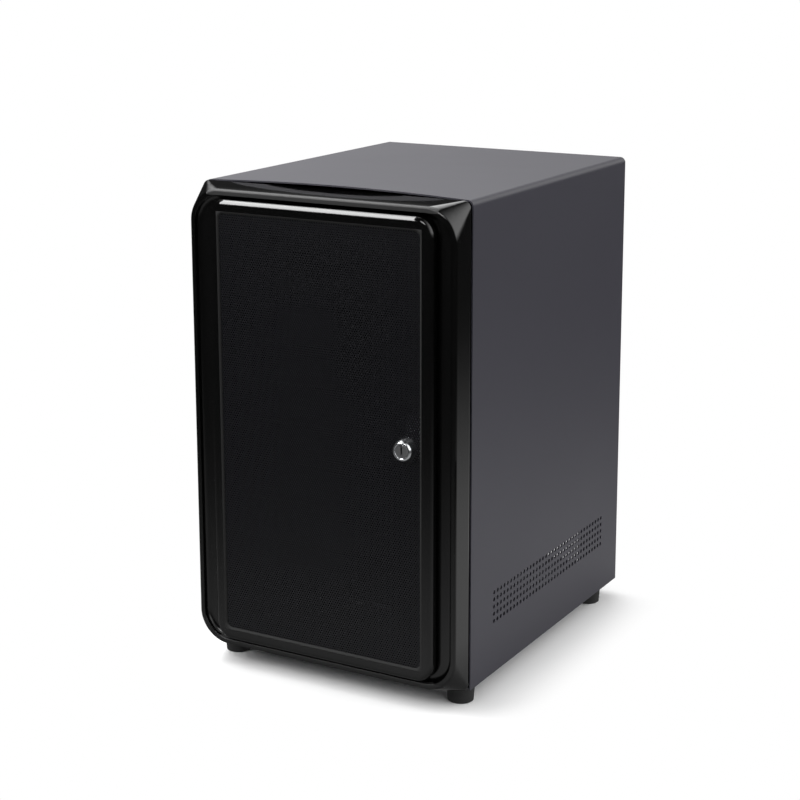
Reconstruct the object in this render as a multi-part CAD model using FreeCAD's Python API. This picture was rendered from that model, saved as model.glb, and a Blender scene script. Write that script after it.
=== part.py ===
import FreeCAD, Part
import math
import os

# A small upright computer case for a Mini-ITX board and eight removable 3.5 inch drives.
# +X is the side with the vent, the front looks along -Y, the feet stand on z = 0. Millimetres.

# Steel body and its folded cover
body_depth = 242.0
cover_sheet = 1.0
cover_bend = 4.0
cover_crown = 2.4
cover_return = 11.0
chassis_sheet = 1.2
chassis_bend = 2.2
chassis_gap = 0.3
flange = 12.0
front_plate_setback = 2.0

# Round vent holes in the right side of the cover
vent_columns = 36
vent_rows = 5
vent_pitch = 5.0
vent_hole = 2.9
vent_height = 36.4

# Rubber feet
foot_height = 12.0
foot_diameter = 19.0
foot_taper = 0.8
foot_side = 12.0
foot_front = 9.5
foot_rear = 28.0
foot_recess_diameter = 9.0
foot_recess_depth = 7.0

# Screws
screw_diameter = 3.0
screw_head_diameter = 6.4
screw_head_height = 2.2
screw_clearance = 0.2
thread_clearance = 0.03
foot_screw_diameter = 4.0
foot_screw_head = 7.6
foot_screw_head_height = 2.6

# Moulded front bezel: straight sides, small corners at the seam and large ones at the lip
bezel_depth = 19.8
seam_groove = 3.2
bezel_seam_corner = 5.0
bezel_lip_corner = 23.0
lip_side_draft = 0.8
lip_top_draft = 3.4
lip_bottom_draft = 3.8
lip_width = 3.4
lip_round = 1.2
dish_depth = 4.0
dish_cove = 3.6
bezel_wall = 4.0
bezel_floor = 2.5
tongue_inset = 1.6
collar_wall = 1.8
collar_setback = 1.0
boss_diameter = 8.0
boss_margin = 12.0
boss_pilot_depth = 9.0

# Door: a rounded frame round a fine steel mesh
door_side_gap = 15.7
door_bottom = 8.4
door_top_gap = 8.8
door_proud = 3.2
door_floor_gap = 0.8
door_corner = 13.0
door_edge_round = 3.6
door_back_round = 2.2
door_border = 9.4
door_bevel = 1.4
door_bevel_depth = 0.9
door_lip = 1.2
mesh_corner = 4.0
mesh_sheet = 0.8
mesh_overlap = 2.4
mesh_clearance = 0.2
tab_length = 10.0
tab_thickness = 1.4
tab_reach = 2.0
tab_count = 5

# Door hinge: two ears on the bezel in pockets of the frame, each with a steel pin
hinge_inset = 3.3
hinge_floor_distance = 3.7
hinge_end_distance = 30.0
ear_radius = 1.8
ear_height = 6.0
ear_gap = 0.3
pin_grip = 4.0
pin_diameter = 2.0
pin_clearance = 0.05

# Cam lock through the mesh
lock_edge = 20.3
lock_above_middle = 2.6
lock_proud = 4.2
lock_ring_diameter = 14.0
lock_face_diameter = 11.6
barrel_diameter = 12.0
plug_diameter = 9.0
plug_clearance = 0.05
keyway_width = 1.3
keyway_length = 5.4
keyway_depth = 3.0
nut_across = 16.0
nut_thickness = 3.0
cam_length = 20.0
cam_width = 9.0
cam_thickness = 1.5
cam_gap = 0.7
tail_diameter = 5.0
cam_screw_diameter = 2.6
cam_screw_head = 5.6
cam_screw_head_height = 1.6
keeper_clearance = 2.0

# Drive cage, trays and backplane
tray_count = 8
tray_pitch = 27.2
drive_width = 101.6
drive_length = 147.0
drive_hole_rear = 28.5
drive_hole_span = 101.6
drive_hole_height = 6.35
drive_hole_diameter = 3.6
cage_supply_gap = 4.5
rail_thickness = 3.0
rail_height = 12.0
rail_gap = 1.0
ledge_width = 2.6
ledge_thickness = 1.0
tray_front_lap = 4.4
tray_front_height = 25.6
tray_front_recess = 4.8
tray_front_gap = 0.4
tray_crossbar = 0.8
tray_crossbar_width = 14.0
tray_crossbar_places = (0.2, 0.55, 0.88)
window_margin = 0.6
lever_length = 74.0
lever_height = 13.0
lever_thickness = 3.2
lever_grip = 12.0
tray_slot_count = 4
tray_slot_width = 4.0
tray_slot_height = 14.0
tray_slot_pitch = 8.0
backplane_sheet = 1.6
connector_depth = 7.0
connector_width = 44.0
connector_height = 7.0
backplane_flange = 8.0

# Shelf between the board and the drives
shelf_height = 80.0
top_room = 18.8
shelf_flange = 10.0
cable_hole_width = 34.0
cable_hole_depth = 46.0

# Mini-ITX board and its posts
board_size = 170.0
board_side_room = 15.0
board_sheet = 1.6
standoff_height = 6.35
standoff_across = 5.0
standoff_bore = 2.5
board_rear_gap = 2.0
board_hole_side = 6.35
board_hole_rear = 10.16
board_hole_offset = 22.86
board_hole_span_x = 157.48
board_hole_span_y = 154.94
io_width = 158.75
io_height = 44.45
io_below_board = 2.24
io_past_board = 4.85
slot_from_edge = 5.5
slot_width = 13.0
slot_top_height = 68.0
slot_cover_width = 18.4
slot_cover_sheet = 0.8
slot_cover_lap = 6.0

# Flex power supply bay
supply_width = 40.5
supply_height = 81.5
supply_length = 150.0
supply_gap = 0.5
supply_frame = 3.0
bracket_length = 60.0
bracket_height = 24.0

# 120 mm fan
fan_size = 120.0
fan_depth = 25.0
fan_hole_spacing = 105.0
fan_bore = 115.0
fan_tube_wall = 1.6
fan_flange = 3.4
fan_corner = 6.0
fan_screw_hole = 4.4
fan_base_radius = 19.0
fan_base_depth = 4.0
fan_strut_width = 5.0
fan_hub_radius = 18.5
fan_hub_depth = 17.0
fan_hub_gap = 0.6
fan_shaft_radius = 1.5
fan_blade_count = 7
fan_blade_thickness = 1.6
fan_blade_chord_root = 17.0
fan_blade_chord_tip = 21.0
fan_blade_angle_root = 42.0
fan_blade_angle_tip = 28.0
fan_blade_clearance = 1.2
grille_ring_count = 5
grille_ring_width = 5.6
grille_web = 3.2
grille_hub_radius = 19.0
grille_spoke_width = 6.0

# Control panel behind the door, under the trays
control_half_width = 56.0
control_bottom = 30.0
control_top = 70.0
control_lap = 3.0
control_sheet = 2.5
control_post_diameter = 6.0
button_travel = 1.5
button_proud = 2.0
button_clearance = 0.1
button_flange = 1.0
button_flange_lap = 1.6
power_button_diameter = 14.0
reset_button_diameter = 7.0
stem_ratio = 0.4
button_board_distance = 9.0
button_board_sheet = 1.6
button_board_half_height = 11.0
switch_size = 6.0
switch_height = 3.0
usb_width = 13.2
usb_height = 5.8
usb_shell = 0.4
usb_tongue = 1.8
usb_clearance = 0.3
led_diameter = 3.2
power_button_x = -38.0
reset_button_x = -20.0
led_x = -6.0
led_spacing = 8.0
usb_x = 22.0
usb_spacing = 20.0

# Small values shared by all parts
tiny = 0.001
overcut = 1.0

# Places that follow from the sizes above
body_width = board_size + 2 * board_side_room
cage_height = 3 * chassis_sheet + ledge_thickness + tray_count * tray_pitch
body_height = shelf_height + cage_height + top_room
half_width = body_width / 2
bottom_z = foot_height
top_z = bottom_z + body_height
front_reach = bezel_depth + door_proud + lock_proud
rear_reach = screw_head_height
seam_y = (front_reach - rear_reach - body_depth) / 2
rear_y = seam_y + body_depth
lip_y = seam_y - bezel_depth
groove_y = seam_y - seam_groove
dish_y = lip_y + dish_depth
floor_back_y = dish_y + bezel_floor
front_plate_y = seam_y + front_plate_setback
rear_plate_y = rear_y - cover_sheet - chassis_sheet
inner_half = half_width - cover_sheet - chassis_gap
tray_top_z = bottom_z + chassis_sheet
inner_top_z = top_z - cover_bend
rear_bend = cover_bend - cover_sheet + chassis_gap
shelf_z = bottom_z + shelf_height
shelf_top_z = shelf_z + chassis_sheet
shelf_half = inner_half - chassis_bend

door_front_y = lip_y - door_proud
door_back_y = dish_y - door_floor_gap
lip_half = half_width - lip_side_draft
lip_low_z = bottom_z + lip_bottom_draft
lip_high_z = top_z - lip_top_draft
door_half = half_width - door_side_gap
door_low_z = bottom_z + door_bottom
door_high_z = top_z - door_top_gap
mesh_front_y = door_front_y + door_lip
mesh_back_y = mesh_front_y + mesh_sheet
hinge_x = -door_half + hinge_inset
hinge_y = dish_y - hinge_floor_distance
hinge_heights = (door_low_z + hinge_end_distance, door_high_z - hinge_end_distance)

lock_x = door_half - lock_edge
lock_z = (door_low_z + door_high_z) / 2 + lock_above_middle
lock_front_y = door_front_y - lock_proud
cam_front_y = floor_back_y + cam_gap
cam_back_y = cam_front_y + cam_thickness
barrel_end_y = floor_back_y

supply_x1 = shelf_half - 2 * chassis_sheet - supply_gap - chassis_gap
supply_x0 = supply_x1 - supply_width
supply_z0 = shelf_top_z + chassis_sheet + supply_gap
supply_z1 = supply_z0 + supply_height

tray_body_width = drive_width + 2 * rail_thickness + 2 * window_margin
cage_inner_half = tray_body_width / 2 + rail_gap
cage_outer_half = cage_inner_half + chassis_sheet
cage_centre_x = supply_x0 - supply_gap - chassis_sheet - cage_supply_gap - cage_outer_half
cage_low_z = shelf_top_z
first_tray_z = cage_low_z + chassis_sheet + ledge_thickness
cage_high_z = first_tray_z + tray_count * tray_pitch + chassis_sheet
tray_front_half = cage_outer_half + tray_front_lap
tray_front_y = dish_y + tray_front_recess
tray_front_back_y = front_plate_y - tray_front_gap
tray_end_y = tray_front_back_y + drive_length
drive_hole_y = tray_end_y - rail_gap - drive_hole_rear
backplane_y = tray_end_y + connector_depth
tray_window_half = tray_front_half + window_margin
tray_window_low = first_tray_z - window_margin
tray_window_high = first_tray_z + (tray_count - 1) * tray_pitch + tray_front_height + window_margin

board_top_z = tray_top_z + standoff_height + board_sheet
board_rear_y = rear_plate_y - board_rear_gap
board_half = board_size / 2
board_hole_x0 = -board_half + board_hole_side
board_hole_x1 = board_hole_x0 + board_hole_span_x
board_hole_rear_y = board_rear_y - board_hole_rear
board_hole_front_y = board_hole_rear_y - board_hole_span_y
board_holes = (
    (board_hole_x0, board_hole_rear_y - board_hole_offset),
    (board_hole_x0, board_hole_front_y),
    (board_hole_x1, board_hole_rear_y),
    (board_hole_x1, board_hole_front_y),
)
io_x0 = -board_half - io_past_board
io_z0 = board_top_z - io_below_board
slot_x = board_half - slot_from_edge

fan_x = cage_centre_x
fan_z = (cage_low_z + cage_high_z) / 2
fan_front_y = rear_plate_y - fan_depth
fan_holes = [
    (fan_x + sx * fan_hole_spacing / 2, fan_z + sz * fan_hole_spacing / 2)
    for sx in (-1, 1)
    for sz in (-1, 1)
]

control_low_z = bottom_z + control_bottom
control_high_z = bottom_z + control_top
control_mid_z = (control_low_z + control_high_z) / 2
control_back_y = floor_back_y + control_sheet
button_board_y = control_back_y + button_board_distance
control_posts = [
    (sx * (control_half_width - control_post_diameter), control_mid_z + sz * button_board_half_height)
    for sx in (-1, 1)
    for sz in (-1, 1)
]

foot_places = [
    (sx * (half_width - foot_side), y)
    for y in (seam_y + foot_front, rear_y - foot_rear)
    for sx in (-1, 1)
]
boss_places = [
    (sx * (half_width - boss_margin), z)
    for z in (bottom_z + 2 * boss_margin, shelf_z - boss_margin, top_z - 2 * boss_margin)
    for sx in (-1, 1)
]
cover_screw_places = [
    (sx * (half_width - cover_return / 2 - cover_sheet), z)
    for z in (bottom_z + 3 * flange, top_z - 3 * flange)
    for sx in (-1, 1)
]
cage_screw_places = [
    (cage_centre_x + sx * (cage_inner_half - flange), y)
    for y in (seam_y + 2 * flange, seam_y + drive_length - flange)
    for sx in (-1, 1)
]

FRONT = (1, -1)
REAR = (1, 1)
BOTTOM = (2, -1)
TOP = (2, 1)

vector = FreeCAD.Vector


def box(x0, x1, y0, y1, z0, z1):
    return Part.makeBox(x1 - x0, y1 - y0, z1 - z0, vector(x0, y0, z0))


def rod_x(radius, x0, x1, y, z):
    return Part.makeCylinder(radius, x1 - x0, vector(x0, y, z), vector(1, 0, 0))


def rod_y(radius, y0, y1, x, z):
    return Part.makeCylinder(radius, y1 - y0, vector(x, y0, z), vector(0, 1, 0))


def rod_z(radius, z0, z1, x, y):
    return Part.makeCylinder(radius, z1 - z0, vector(x, y, z0), vector(0, 0, 1))


def join(shapes):
    return shapes[0].multiFuse(shapes[1:]).removeSplitter()


def rounded_outline(x0, x1, z0, z1, radius, y):
    """Upright outline facing the front: four straight sides joined by quarter rounds."""
    centres = (
        (x1 - radius, z1 - radius, 0),
        (x0 + radius, z1 - radius, 90),
        (x0 + radius, z0 + radius, 180),
        (x1 - radius, z0 + radius, 270),
    )
    rounds = []
    for cx, cz, start in centres:
        points = []
        for turn in (0, 45, 90):
            angle = math.radians(start + turn)
            points.append(vector(cx + radius * math.cos(angle), y, cz + radius * math.sin(angle)))
        rounds.append(points)
    edges = []
    for index, points in enumerate(rounds):
        following = rounds[(index + 1) % 4]
        edges.append(Part.Arc(*points).toShape())
        edges.append(Part.makeLine(points[2], following[0]))
    return Part.Wire(edges)


def rounded_block(x0, x1, z0, z1, radius, y0, y1):
    outline = rounded_outline(x0, x1, z0, z1, radius, y0)
    return Part.Face(outline).extrude(vector(0, y1 - y0, 0))


def edges_on_plane(solid, y):
    return [e for e in solid.Edges if abs(e.BoundBox.YMin - y) < tiny and abs(e.BoundBox.YMax - y) < tiny]


def fold_edges(solid, low, high, open_sides):
    """Edges of a box where two closed walls meet."""
    chosen = []
    for edge in solid.Edges:
        centre = edge.CenterOfMass
        walls = 0
        for axis in range(3):
            if abs(centre[axis] - low[axis]) < tiny and (axis, -1) not in open_sides:
                walls += 1
            if abs(centre[axis] - high[axis]) < tiny and (axis, 1) not in open_sides:
                walls += 1
        if walls == 2:
            chosen.append(edge)
    return chosen


def folded_sheet(low, high, open_sides, sheet, bend):
    """Sheet metal folded into a box that lacks the open sides, with round folds."""
    outer = box(low[0], high[0], low[1], high[1], low[2], high[2])
    outer = outer.makeFillet(bend, fold_edges(outer, low, high, open_sides))
    inner_low = [low[a] - overcut if (a, -1) in open_sides else low[a] + sheet for a in range(3)]
    inner_high = [high[a] + overcut if (a, 1) in open_sides else high[a] - sheet for a in range(3)]
    inner = box(inner_low[0], inner_high[0], inner_low[1], inner_high[1], inner_low[2], inner_high[2])
    inner = inner.makeFillet(bend - sheet, fold_edges(inner, inner_low, inner_high, open_sides))
    return outer.cut(inner)


def turned(points, x, z):
    """A solid turned round an axis along Y from (radius, y) points."""
    corners = [vector(x + radius, y, z) for radius, y in points]
    outline = Part.makePolygon(corners + corners[:1])
    return Part.Face(outline).revolve(vector(x, 0, z), vector(0, 1, 0), 360)


def screw_y(x, z, head_y, point_y):
    """Pan head screw along Y; the head stands on head_y, away from point_y."""
    outward = 1 if head_y > point_y else -1
    head_end = head_y + outward * screw_head_height
    head = rod_y(screw_head_diameter / 2, min(head_y, head_end), max(head_y, head_end), x, z)
    shank = rod_y(screw_diameter / 2, min(head_y, point_y), max(head_y, point_y), x, z)
    return head.fuse(shank)


def screw_z(x, y, head_z, point_z, diameter, head_diameter, head_height):
    outward = 1 if head_z > point_z else -1
    head_end = head_z + outward * head_height
    head = rod_z(head_diameter / 2, min(head_z, head_end), max(head_z, head_end), x, y)
    shank = rod_z(diameter / 2, min(head_z, point_z), max(head_z, point_z), x, y)
    return head.fuse(shank)


def make_crowned_top():
    """The top sheet between the folds: arched at its free front edge, flat at the rear."""
    edge_x = half_width - cover_bend
    flat_y = rear_y - cover_bend
    under_z = top_z - cover_sheet
    front_top = Part.Arc(
        vector(-edge_x, seam_y, top_z),
        vector(0, seam_y, top_z + cover_crown),
        vector(edge_x, seam_y, top_z),
    ).toShape()
    front_under = Part.Arc(
        vector(edge_x, seam_y, under_z),
        vector(0, seam_y, under_z + cover_crown),
        vector(-edge_x, seam_y, under_z),
    ).toShape()
    front = Part.Wire([
        front_top,
        Part.makeLine(vector(edge_x, seam_y, top_z), vector(edge_x, seam_y, under_z)),
        front_under,
        Part.makeLine(vector(-edge_x, seam_y, under_z), vector(-edge_x, seam_y, top_z)),
    ])
    rear = Part.makePolygon([
        vector(-edge_x, flat_y, top_z),
        vector(edge_x, flat_y, top_z),
        vector(edge_x, flat_y, under_z),
        vector(-edge_x, flat_y, under_z),
        vector(-edge_x, flat_y, top_z),
    ])
    return Part.makeLoft([front, rear], True, True)


def make_vent_holes():
    first_y = seam_y + (body_depth - (vent_columns - 1) * vent_pitch) / 2
    holes = []
    for column in range(vent_columns):
        for row in range(vent_rows):
            y = first_y + column * vent_pitch
            z = bottom_z + vent_height + row * vent_pitch
            holes.append(rod_x(vent_hole / 2, half_width - 2 * cover_sheet, half_width + overcut, y, z))
    return holes


def make_outer_cover():
    """Top, both sides and the rear return folded from one sheet."""
    low = (-half_width, seam_y, bottom_z)
    high = (half_width, rear_y, top_z)
    cover = folded_sheet(low, high, (FRONT, BOTTOM), cover_sheet, cover_bend)
    edge_x = half_width - cover_bend
    flat_top = box(
        -edge_x, edge_x, seam_y - overcut, rear_y - cover_bend, top_z - 2 * cover_sheet, top_z + overcut
    )
    return_x = half_width - cover_return
    rear_window = box(
        -return_x, return_x, rear_y - 2 * cover_sheet, rear_y + overcut,
        bottom_z - overcut, top_z - cover_return,
    )
    screw_holes = [
        rod_y(screw_diameter / 2 + screw_clearance, rear_y - 2 * cover_sheet, rear_y + overcut, x, z)
        for x, z in cover_screw_places
    ]
    cover = cover.cut([flat_top, rear_window] + screw_holes)
    cover = join([cover, make_crowned_top()])
    return cover.cut(make_vent_holes())


def make_base_tray():
    """Floor of the chassis, folded up along both sides."""
    low = (-inner_half, seam_y + chassis_gap, bottom_z)
    high = (inner_half, rear_plate_y, bottom_z + flange)
    tray = folded_sheet(low, high, (FRONT, REAR, TOP), chassis_sheet, chassis_bend)
    notch = flange + chassis_sheet + chassis_gap
    tools = [
        box(-half_width, half_width, low[1] - overcut, front_plate_y + notch, tray_top_z, top_z),
        box(-half_width, half_width, rear_plate_y - notch, rear_y, tray_top_z, top_z),
    ]
    for x, y in foot_places:
        tools.append(rod_z(foot_screw_diameter / 2 + thread_clearance, bottom_z - overcut, top_z, x, y))
    for x, y in board_holes:
        tools.append(rod_z(standoff_bore / 2, bottom_z - overcut, tray_top_z + overcut, x, y))
    return tray.cut(tools)


def make_front_panel():
    """Steel front of the chassis behind the bezel, with the drive and cable windows."""
    low = (-inner_half, front_plate_y, tray_top_z)
    high = (inner_half, front_plate_y + flange, inner_top_z)
    panel = folded_sheet(low, high, (REAR, TOP), chassis_sheet, chassis_bend)
    y0 = front_plate_y - overcut
    y1 = front_plate_y + 2 * chassis_sheet
    tools = [
        box(
            cage_centre_x - cage_inner_half, cage_centre_x + cage_inner_half,
            y0, y1, cage_low_z + chassis_sheet, cage_high_z - chassis_sheet,
        ),
        rounded_block(
            -control_half_width / 2, control_half_width / 2,
            control_low_z + flange, control_high_z - flange / 2, flange / 4, y0, y1,
        ),
    ]
    for x, z in boss_places:
        tools.append(rod_y(screw_diameter / 2 + screw_clearance, y0, y1, x, z))
    for x, y in foot_places[:2]:
        tools.append(rod_z(foot_screw_head / 2, tray_top_z - overcut, tray_top_z + 2 * chassis_sheet, x, y))
    return panel.cut(tools)


def make_fan_grille():
    """Ring slots of the fan opening, with the spokes between them left standing."""
    y0 = rear_plate_y - overcut
    y1 = rear_plate_y + chassis_sheet + overcut
    rings = []
    for index in range(grille_ring_count):
        inner = grille_hub_radius + index * (grille_ring_width + grille_web)
        outer = inner + grille_ring_width
        if outer < fan_bore / 2:
            rings.append(rod_y(outer, y0, y1, fan_x, fan_z).cut(rod_y(inner, y0, y1, fan_x, fan_z)))
    half = fan_size / 2
    spoke = grille_spoke_width / 2
    spokes = []
    for turn in (45, 135):
        bar = box(-half * 2, half * 2, y0, y1, -spoke, spoke)
        bar.rotate(vector(0, 0, 0), vector(0, 1, 0), turn)
        bar.translate(vector(fan_x, 0, fan_z))
        spokes.append(bar)
    return [ring.cut(spokes) for ring in rings]


def make_rear_panel():
    """Steel rear of the chassis: connector, slot, power supply and fan openings."""
    low = (-inner_half, rear_y - cover_sheet - flange, tray_top_z)
    high = (inner_half, rear_y - cover_sheet, inner_top_z)
    panel = folded_sheet(low, high, (FRONT, TOP), chassis_sheet, rear_bend)
    y0 = rear_plate_y - overcut
    y1 = rear_y
    tools = make_fan_grille()
    tools.append(box(io_x0, io_x0 + io_width, y0, y1, io_z0, io_z0 + io_height))
    slot_half = slot_width / 2
    tools.append(box(slot_x - slot_half, slot_x + slot_half, y0, y1, io_z0, bottom_z + slot_top_height))
    tools.append(box(
        supply_x0 + supply_frame, supply_x1 - supply_frame, y0, y1,
        supply_z0 + supply_frame, supply_z1 - supply_frame,
    ))
    for x, z in cover_screw_places:
        tools.append(rod_y(screw_diameter / 2 + thread_clearance, y0, y1, x, z))
    for x, z in fan_holes:
        tools.append(rod_y(screw_diameter / 2 + screw_clearance, y0, y1, x, z))
    tools.append(rod_y(
        screw_diameter / 2 + thread_clearance, y0, y1, slot_x, bottom_z + slot_top_height + slot_cover_lap / 2
    ))
    for x, y in board_holes:
        tools.append(rod_z(standoff_across, tray_top_z - overcut, tray_top_z + 2 * chassis_sheet, x, y))
    return panel.cut(tools)


def make_mid_shelf():
    """Shelf above the board, with relieved rear corners, for the cage and the power supply."""
    low = (-shelf_half, front_plate_y + chassis_sheet, shelf_z)
    high = (shelf_half, rear_plate_y, shelf_z + shelf_flange)
    shelf = folded_sheet(low, high, (FRONT, REAR, TOP), chassis_sheet, chassis_bend)
    hole_x = cage_centre_x - cable_hole_width / 2
    tools = [
        box(
            hole_x, hole_x + cable_hole_width, fan_front_y - cable_hole_depth, fan_front_y - flange,
            shelf_z - overcut, shelf_top_z + overcut,
        ),
        box(
            supply_x0, supply_x1, seam_y + 2 * flange, seam_y + 2 * flange + cable_hole_depth,
            shelf_z - overcut, shelf_top_z + overcut,
        ),
    ]
    for x in (-shelf_half, shelf_half):
        tools.append(box(
            x - chassis_bend, x + chassis_bend, rear_plate_y - chassis_bend, rear_plate_y + overcut,
            shelf_z - overcut, shelf_z + shelf_flange + overcut,
        ))
    hole = screw_diameter / 2 + thread_clearance
    for x, y in cage_screw_places:
        tools.append(rod_z(hole, shelf_z - overcut, shelf_top_z + overcut, x, y))
    return shelf.cut(tools)


def make_drive_cage():
    """Folded box with eight pairs of guide ledges and a flange for the backplane."""
    x0 = cage_centre_x - cage_outer_half
    x1 = cage_centre_x + cage_outer_half
    y0 = front_plate_y + chassis_sheet
    y1 = backplane_y + backplane_sheet + chassis_sheet
    low = (x0, y0, cage_low_z)
    high = (x1, y1, cage_high_z)
    cage = folded_sheet(low, high, (FRONT, REAR), chassis_sheet, chassis_bend)
    pieces = [cage]
    for index in range(tray_count):
        z = first_tray_z + index * tray_pitch
        for side in (-1, 1):
            wall_x = cage_centre_x + side * (cage_inner_half + tiny)
            inner_x = cage_centre_x + side * (cage_inner_half - ledge_width)
            pieces.append(box(
                min(wall_x, inner_x), max(wall_x, inner_x), y0, tray_end_y, z - ledge_thickness, z
            ))
    for side in (-1, 1):
        wall_x = cage_centre_x + side * (cage_inner_half + tiny)
        inner_x = cage_centre_x + side * (cage_inner_half - backplane_flange)
        pieces.append(box(
            min(wall_x, inner_x), max(wall_x, inner_x), y1 - chassis_sheet, y1,
            cage_low_z + chassis_bend, cage_high_z - chassis_bend,
        ))
    cage = join(pieces)
    tools = []
    window_low = first_tray_z + rail_height + ledge_thickness
    window_half = drive_length / 2 - 2 * flange
    window_mid = (y0 + tray_end_y) / 2
    for index in range(tray_count - 1):
        z = window_low + index * tray_pitch
        tools.append(box(
            x0 - overcut, x1 + overcut, window_mid - window_half, window_mid + window_half,
            z, z + tray_pitch - rail_height - 3 * ledge_thickness,
        ))
    for x, y in cage_screw_places:
        tools.append(rod_z(screw_diameter / 2 + screw_clearance, cage_low_z - overcut, first_tray_z, x, y))
    return cage.cut(tools)


def make_drive_tray(index):
    """Moulded tray: a front block with a lever pocket, two rails and thin cross bars."""
    z0 = first_tray_z + index * tray_pitch
    half_front = tray_front_half
    half_body = tray_body_width / 2
    x = cage_centre_x
    front = box(
        x - half_front, x + half_front, tray_front_y, tray_front_back_y, z0, z0 + tray_front_height
    )
    front_edges = [
        e for e in front.Edges
        if abs(e.CenterOfMass.y - tray_front_y) < tiny
    ]
    front = front.makeFillet(window_margin, front_edges)
    pieces = [front]
    for side in (-1, 1):
        rail_x = x + side * half_body
        inner_x = rail_x - side * rail_thickness
        pieces.append(box(
            min(rail_x, inner_x), max(rail_x, inner_x), tray_front_back_y - overcut, tray_end_y - rail_gap,
            z0, z0 + rail_height,
        ))
    for fraction in tray_crossbar_places:
        bar_y = tray_front_back_y + fraction * drive_length
        pieces.append(box(
            x - half_body, x + half_body, bar_y, bar_y + tray_crossbar_width, z0, z0 + tray_crossbar
        ))
    tray = join(pieces)
    middle_z = z0 + tray_front_height / 2
    pocket_x = x + half_front - lever_grip / 2 - lever_length
    tools = [box(
        pocket_x - window_margin, pocket_x + lever_length + window_margin,
        tray_front_y - overcut, tray_front_y + lever_thickness,
        middle_z - lever_height / 2 - window_margin, middle_z + lever_height / 2 + window_margin,
    )]
    for slot in range(tray_slot_count):
        slot_x0 = x - half_front + tray_slot_pitch / 2 + slot * tray_slot_pitch
        tools.append(box(
            slot_x0, slot_x0 + tray_slot_width, tray_front_y - overcut, tray_front_back_y + overcut,
            middle_z - tray_slot_height / 2, middle_z + tray_slot_height / 2,
        ))
    for hole_y in (drive_hole_y - drive_hole_span, drive_hole_y):
        tools.append(rod_x(
            drive_hole_diameter / 2, x - half_body - overcut, x + half_body + overcut,
            hole_y, z0 + tray_crossbar + drive_hole_height,
        ))
    return tray.cut(tools)


def make_tray_lever(index):
    """Swing lever lying in the pocket of its tray, with a raised finger grip."""
    z0 = first_tray_z + index * tray_pitch
    middle_z = z0 + tray_front_height / 2
    x0 = cage_centre_x + tray_front_half - lever_grip / 2 - lever_length
    lever = rounded_block(
        x0, x0 + lever_length, middle_z - lever_height / 2, middle_z + lever_height / 2,
        lever_height / 4, tray_front_y + window_margin, tray_front_y + lever_thickness,
    )
    grip = rod_z(
        lever_grip / 2, middle_z - lever_height / 2, middle_z + lever_height / 2,
        x0 + lever_grip, tray_front_y + lever_thickness + lever_grip / 4,
    )
    keep = box(
        x0, x0 + lever_length, tray_front_y - window_margin, tray_front_y + lever_thickness,
        z0, z0 + tray_front_height,
    )
    return join([lever, grip.common(keep)])


def make_backplane():
    low_z = cage_low_z + chassis_bend
    high_z = cage_high_z - chassis_bend
    half = cage_inner_half - window_margin
    board = box(
        cage_centre_x - half, cage_centre_x + half, backplane_y, backplane_y + backplane_sheet, low_z, high_z
    )
    slots = []
    for index in range(tray_count):
        z = first_tray_z + index * tray_pitch + tray_pitch / 2
        slots.append(box(
            cage_centre_x - connector_width / 2, cage_centre_x + connector_width / 2,
            backplane_y - overcut, backplane_y + backplane_sheet + overcut,
            z, z + tray_pitch / 4,
        ))
    return board.cut(slots)


def make_backplane_connectors():
    """One drive connector for each tray, standing on the front of the backplane."""
    connectors = []
    for index in range(tray_count):
        z = first_tray_z + index * tray_pitch + ledge_thickness
        x0 = cage_centre_x - connector_width / 2
        body = box(
            x0, x0 + connector_width, tray_end_y, backplane_y, z, z + connector_height
        )
        groove = box(
            x0 + connector_height / 2, x0 + connector_width - connector_height / 2,
            tray_end_y - overcut, tray_end_y + connector_depth / 2,
            z + connector_height / 3, z + connector_height * 2 / 3,
        )
        connectors.append(body.cut(groove))
    return Part.makeCompound(connectors)


def make_foot(x, y):
    """Tapered rubber foot with a recess for its screw."""
    radius = foot_diameter / 2
    foot = Part.makeCone(radius - foot_taper, radius, foot_height, vector(x, y, 0), vector(0, 0, 1))
    sole = [e for e in foot.Edges if e.BoundBox.ZMax < tiny]
    foot = foot.makeFillet(foot_taper, sole)
    recess = rod_z(foot_recess_diameter / 2, -overcut, foot_recess_depth, x, y)
    hole = rod_z(foot_screw_diameter / 2 + screw_clearance, 0, foot_height + overcut, x, y)
    return foot.cut([recess, hole])


def make_foot_screws():
    return Part.makeCompound([
        screw_z(
            x, y, foot_recess_depth, tray_top_z + chassis_sheet + chassis_gap,
            foot_screw_diameter, foot_screw_head, foot_screw_head_height,
        )
        for x, y in foot_places
    ])


def make_standoffs():
    """Four hexagonal posts under the board."""
    posts = []
    for x, y in board_holes:
        radius = standoff_across / math.sqrt(3)
        corners = [
            vector(x + radius * math.cos(math.radians(a)), y + radius * math.sin(math.radians(a)), tray_top_z)
            for a in range(0, 420, 60)
        ]
        post = Part.Face(Part.makePolygon(corners)).extrude(vector(0, 0, standoff_height))
        posts.append(post.cut(rod_z(standoff_bore / 2, tray_top_z - overcut, board_top_z, x, y)))
    return Part.makeCompound(posts)


def make_supply_bracket():
    """Open cradle on the shelf that holds the front end of the power supply."""
    y1 = rear_plate_y - supply_length / 2
    low = (supply_x0 - supply_gap - chassis_sheet, y1 - bracket_length, shelf_top_z)
    high = (supply_x1 + supply_gap + chassis_sheet, y1, shelf_top_z + bracket_height)
    return folded_sheet(low, high, (FRONT, REAR, TOP), chassis_sheet, chassis_bend)


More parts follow.
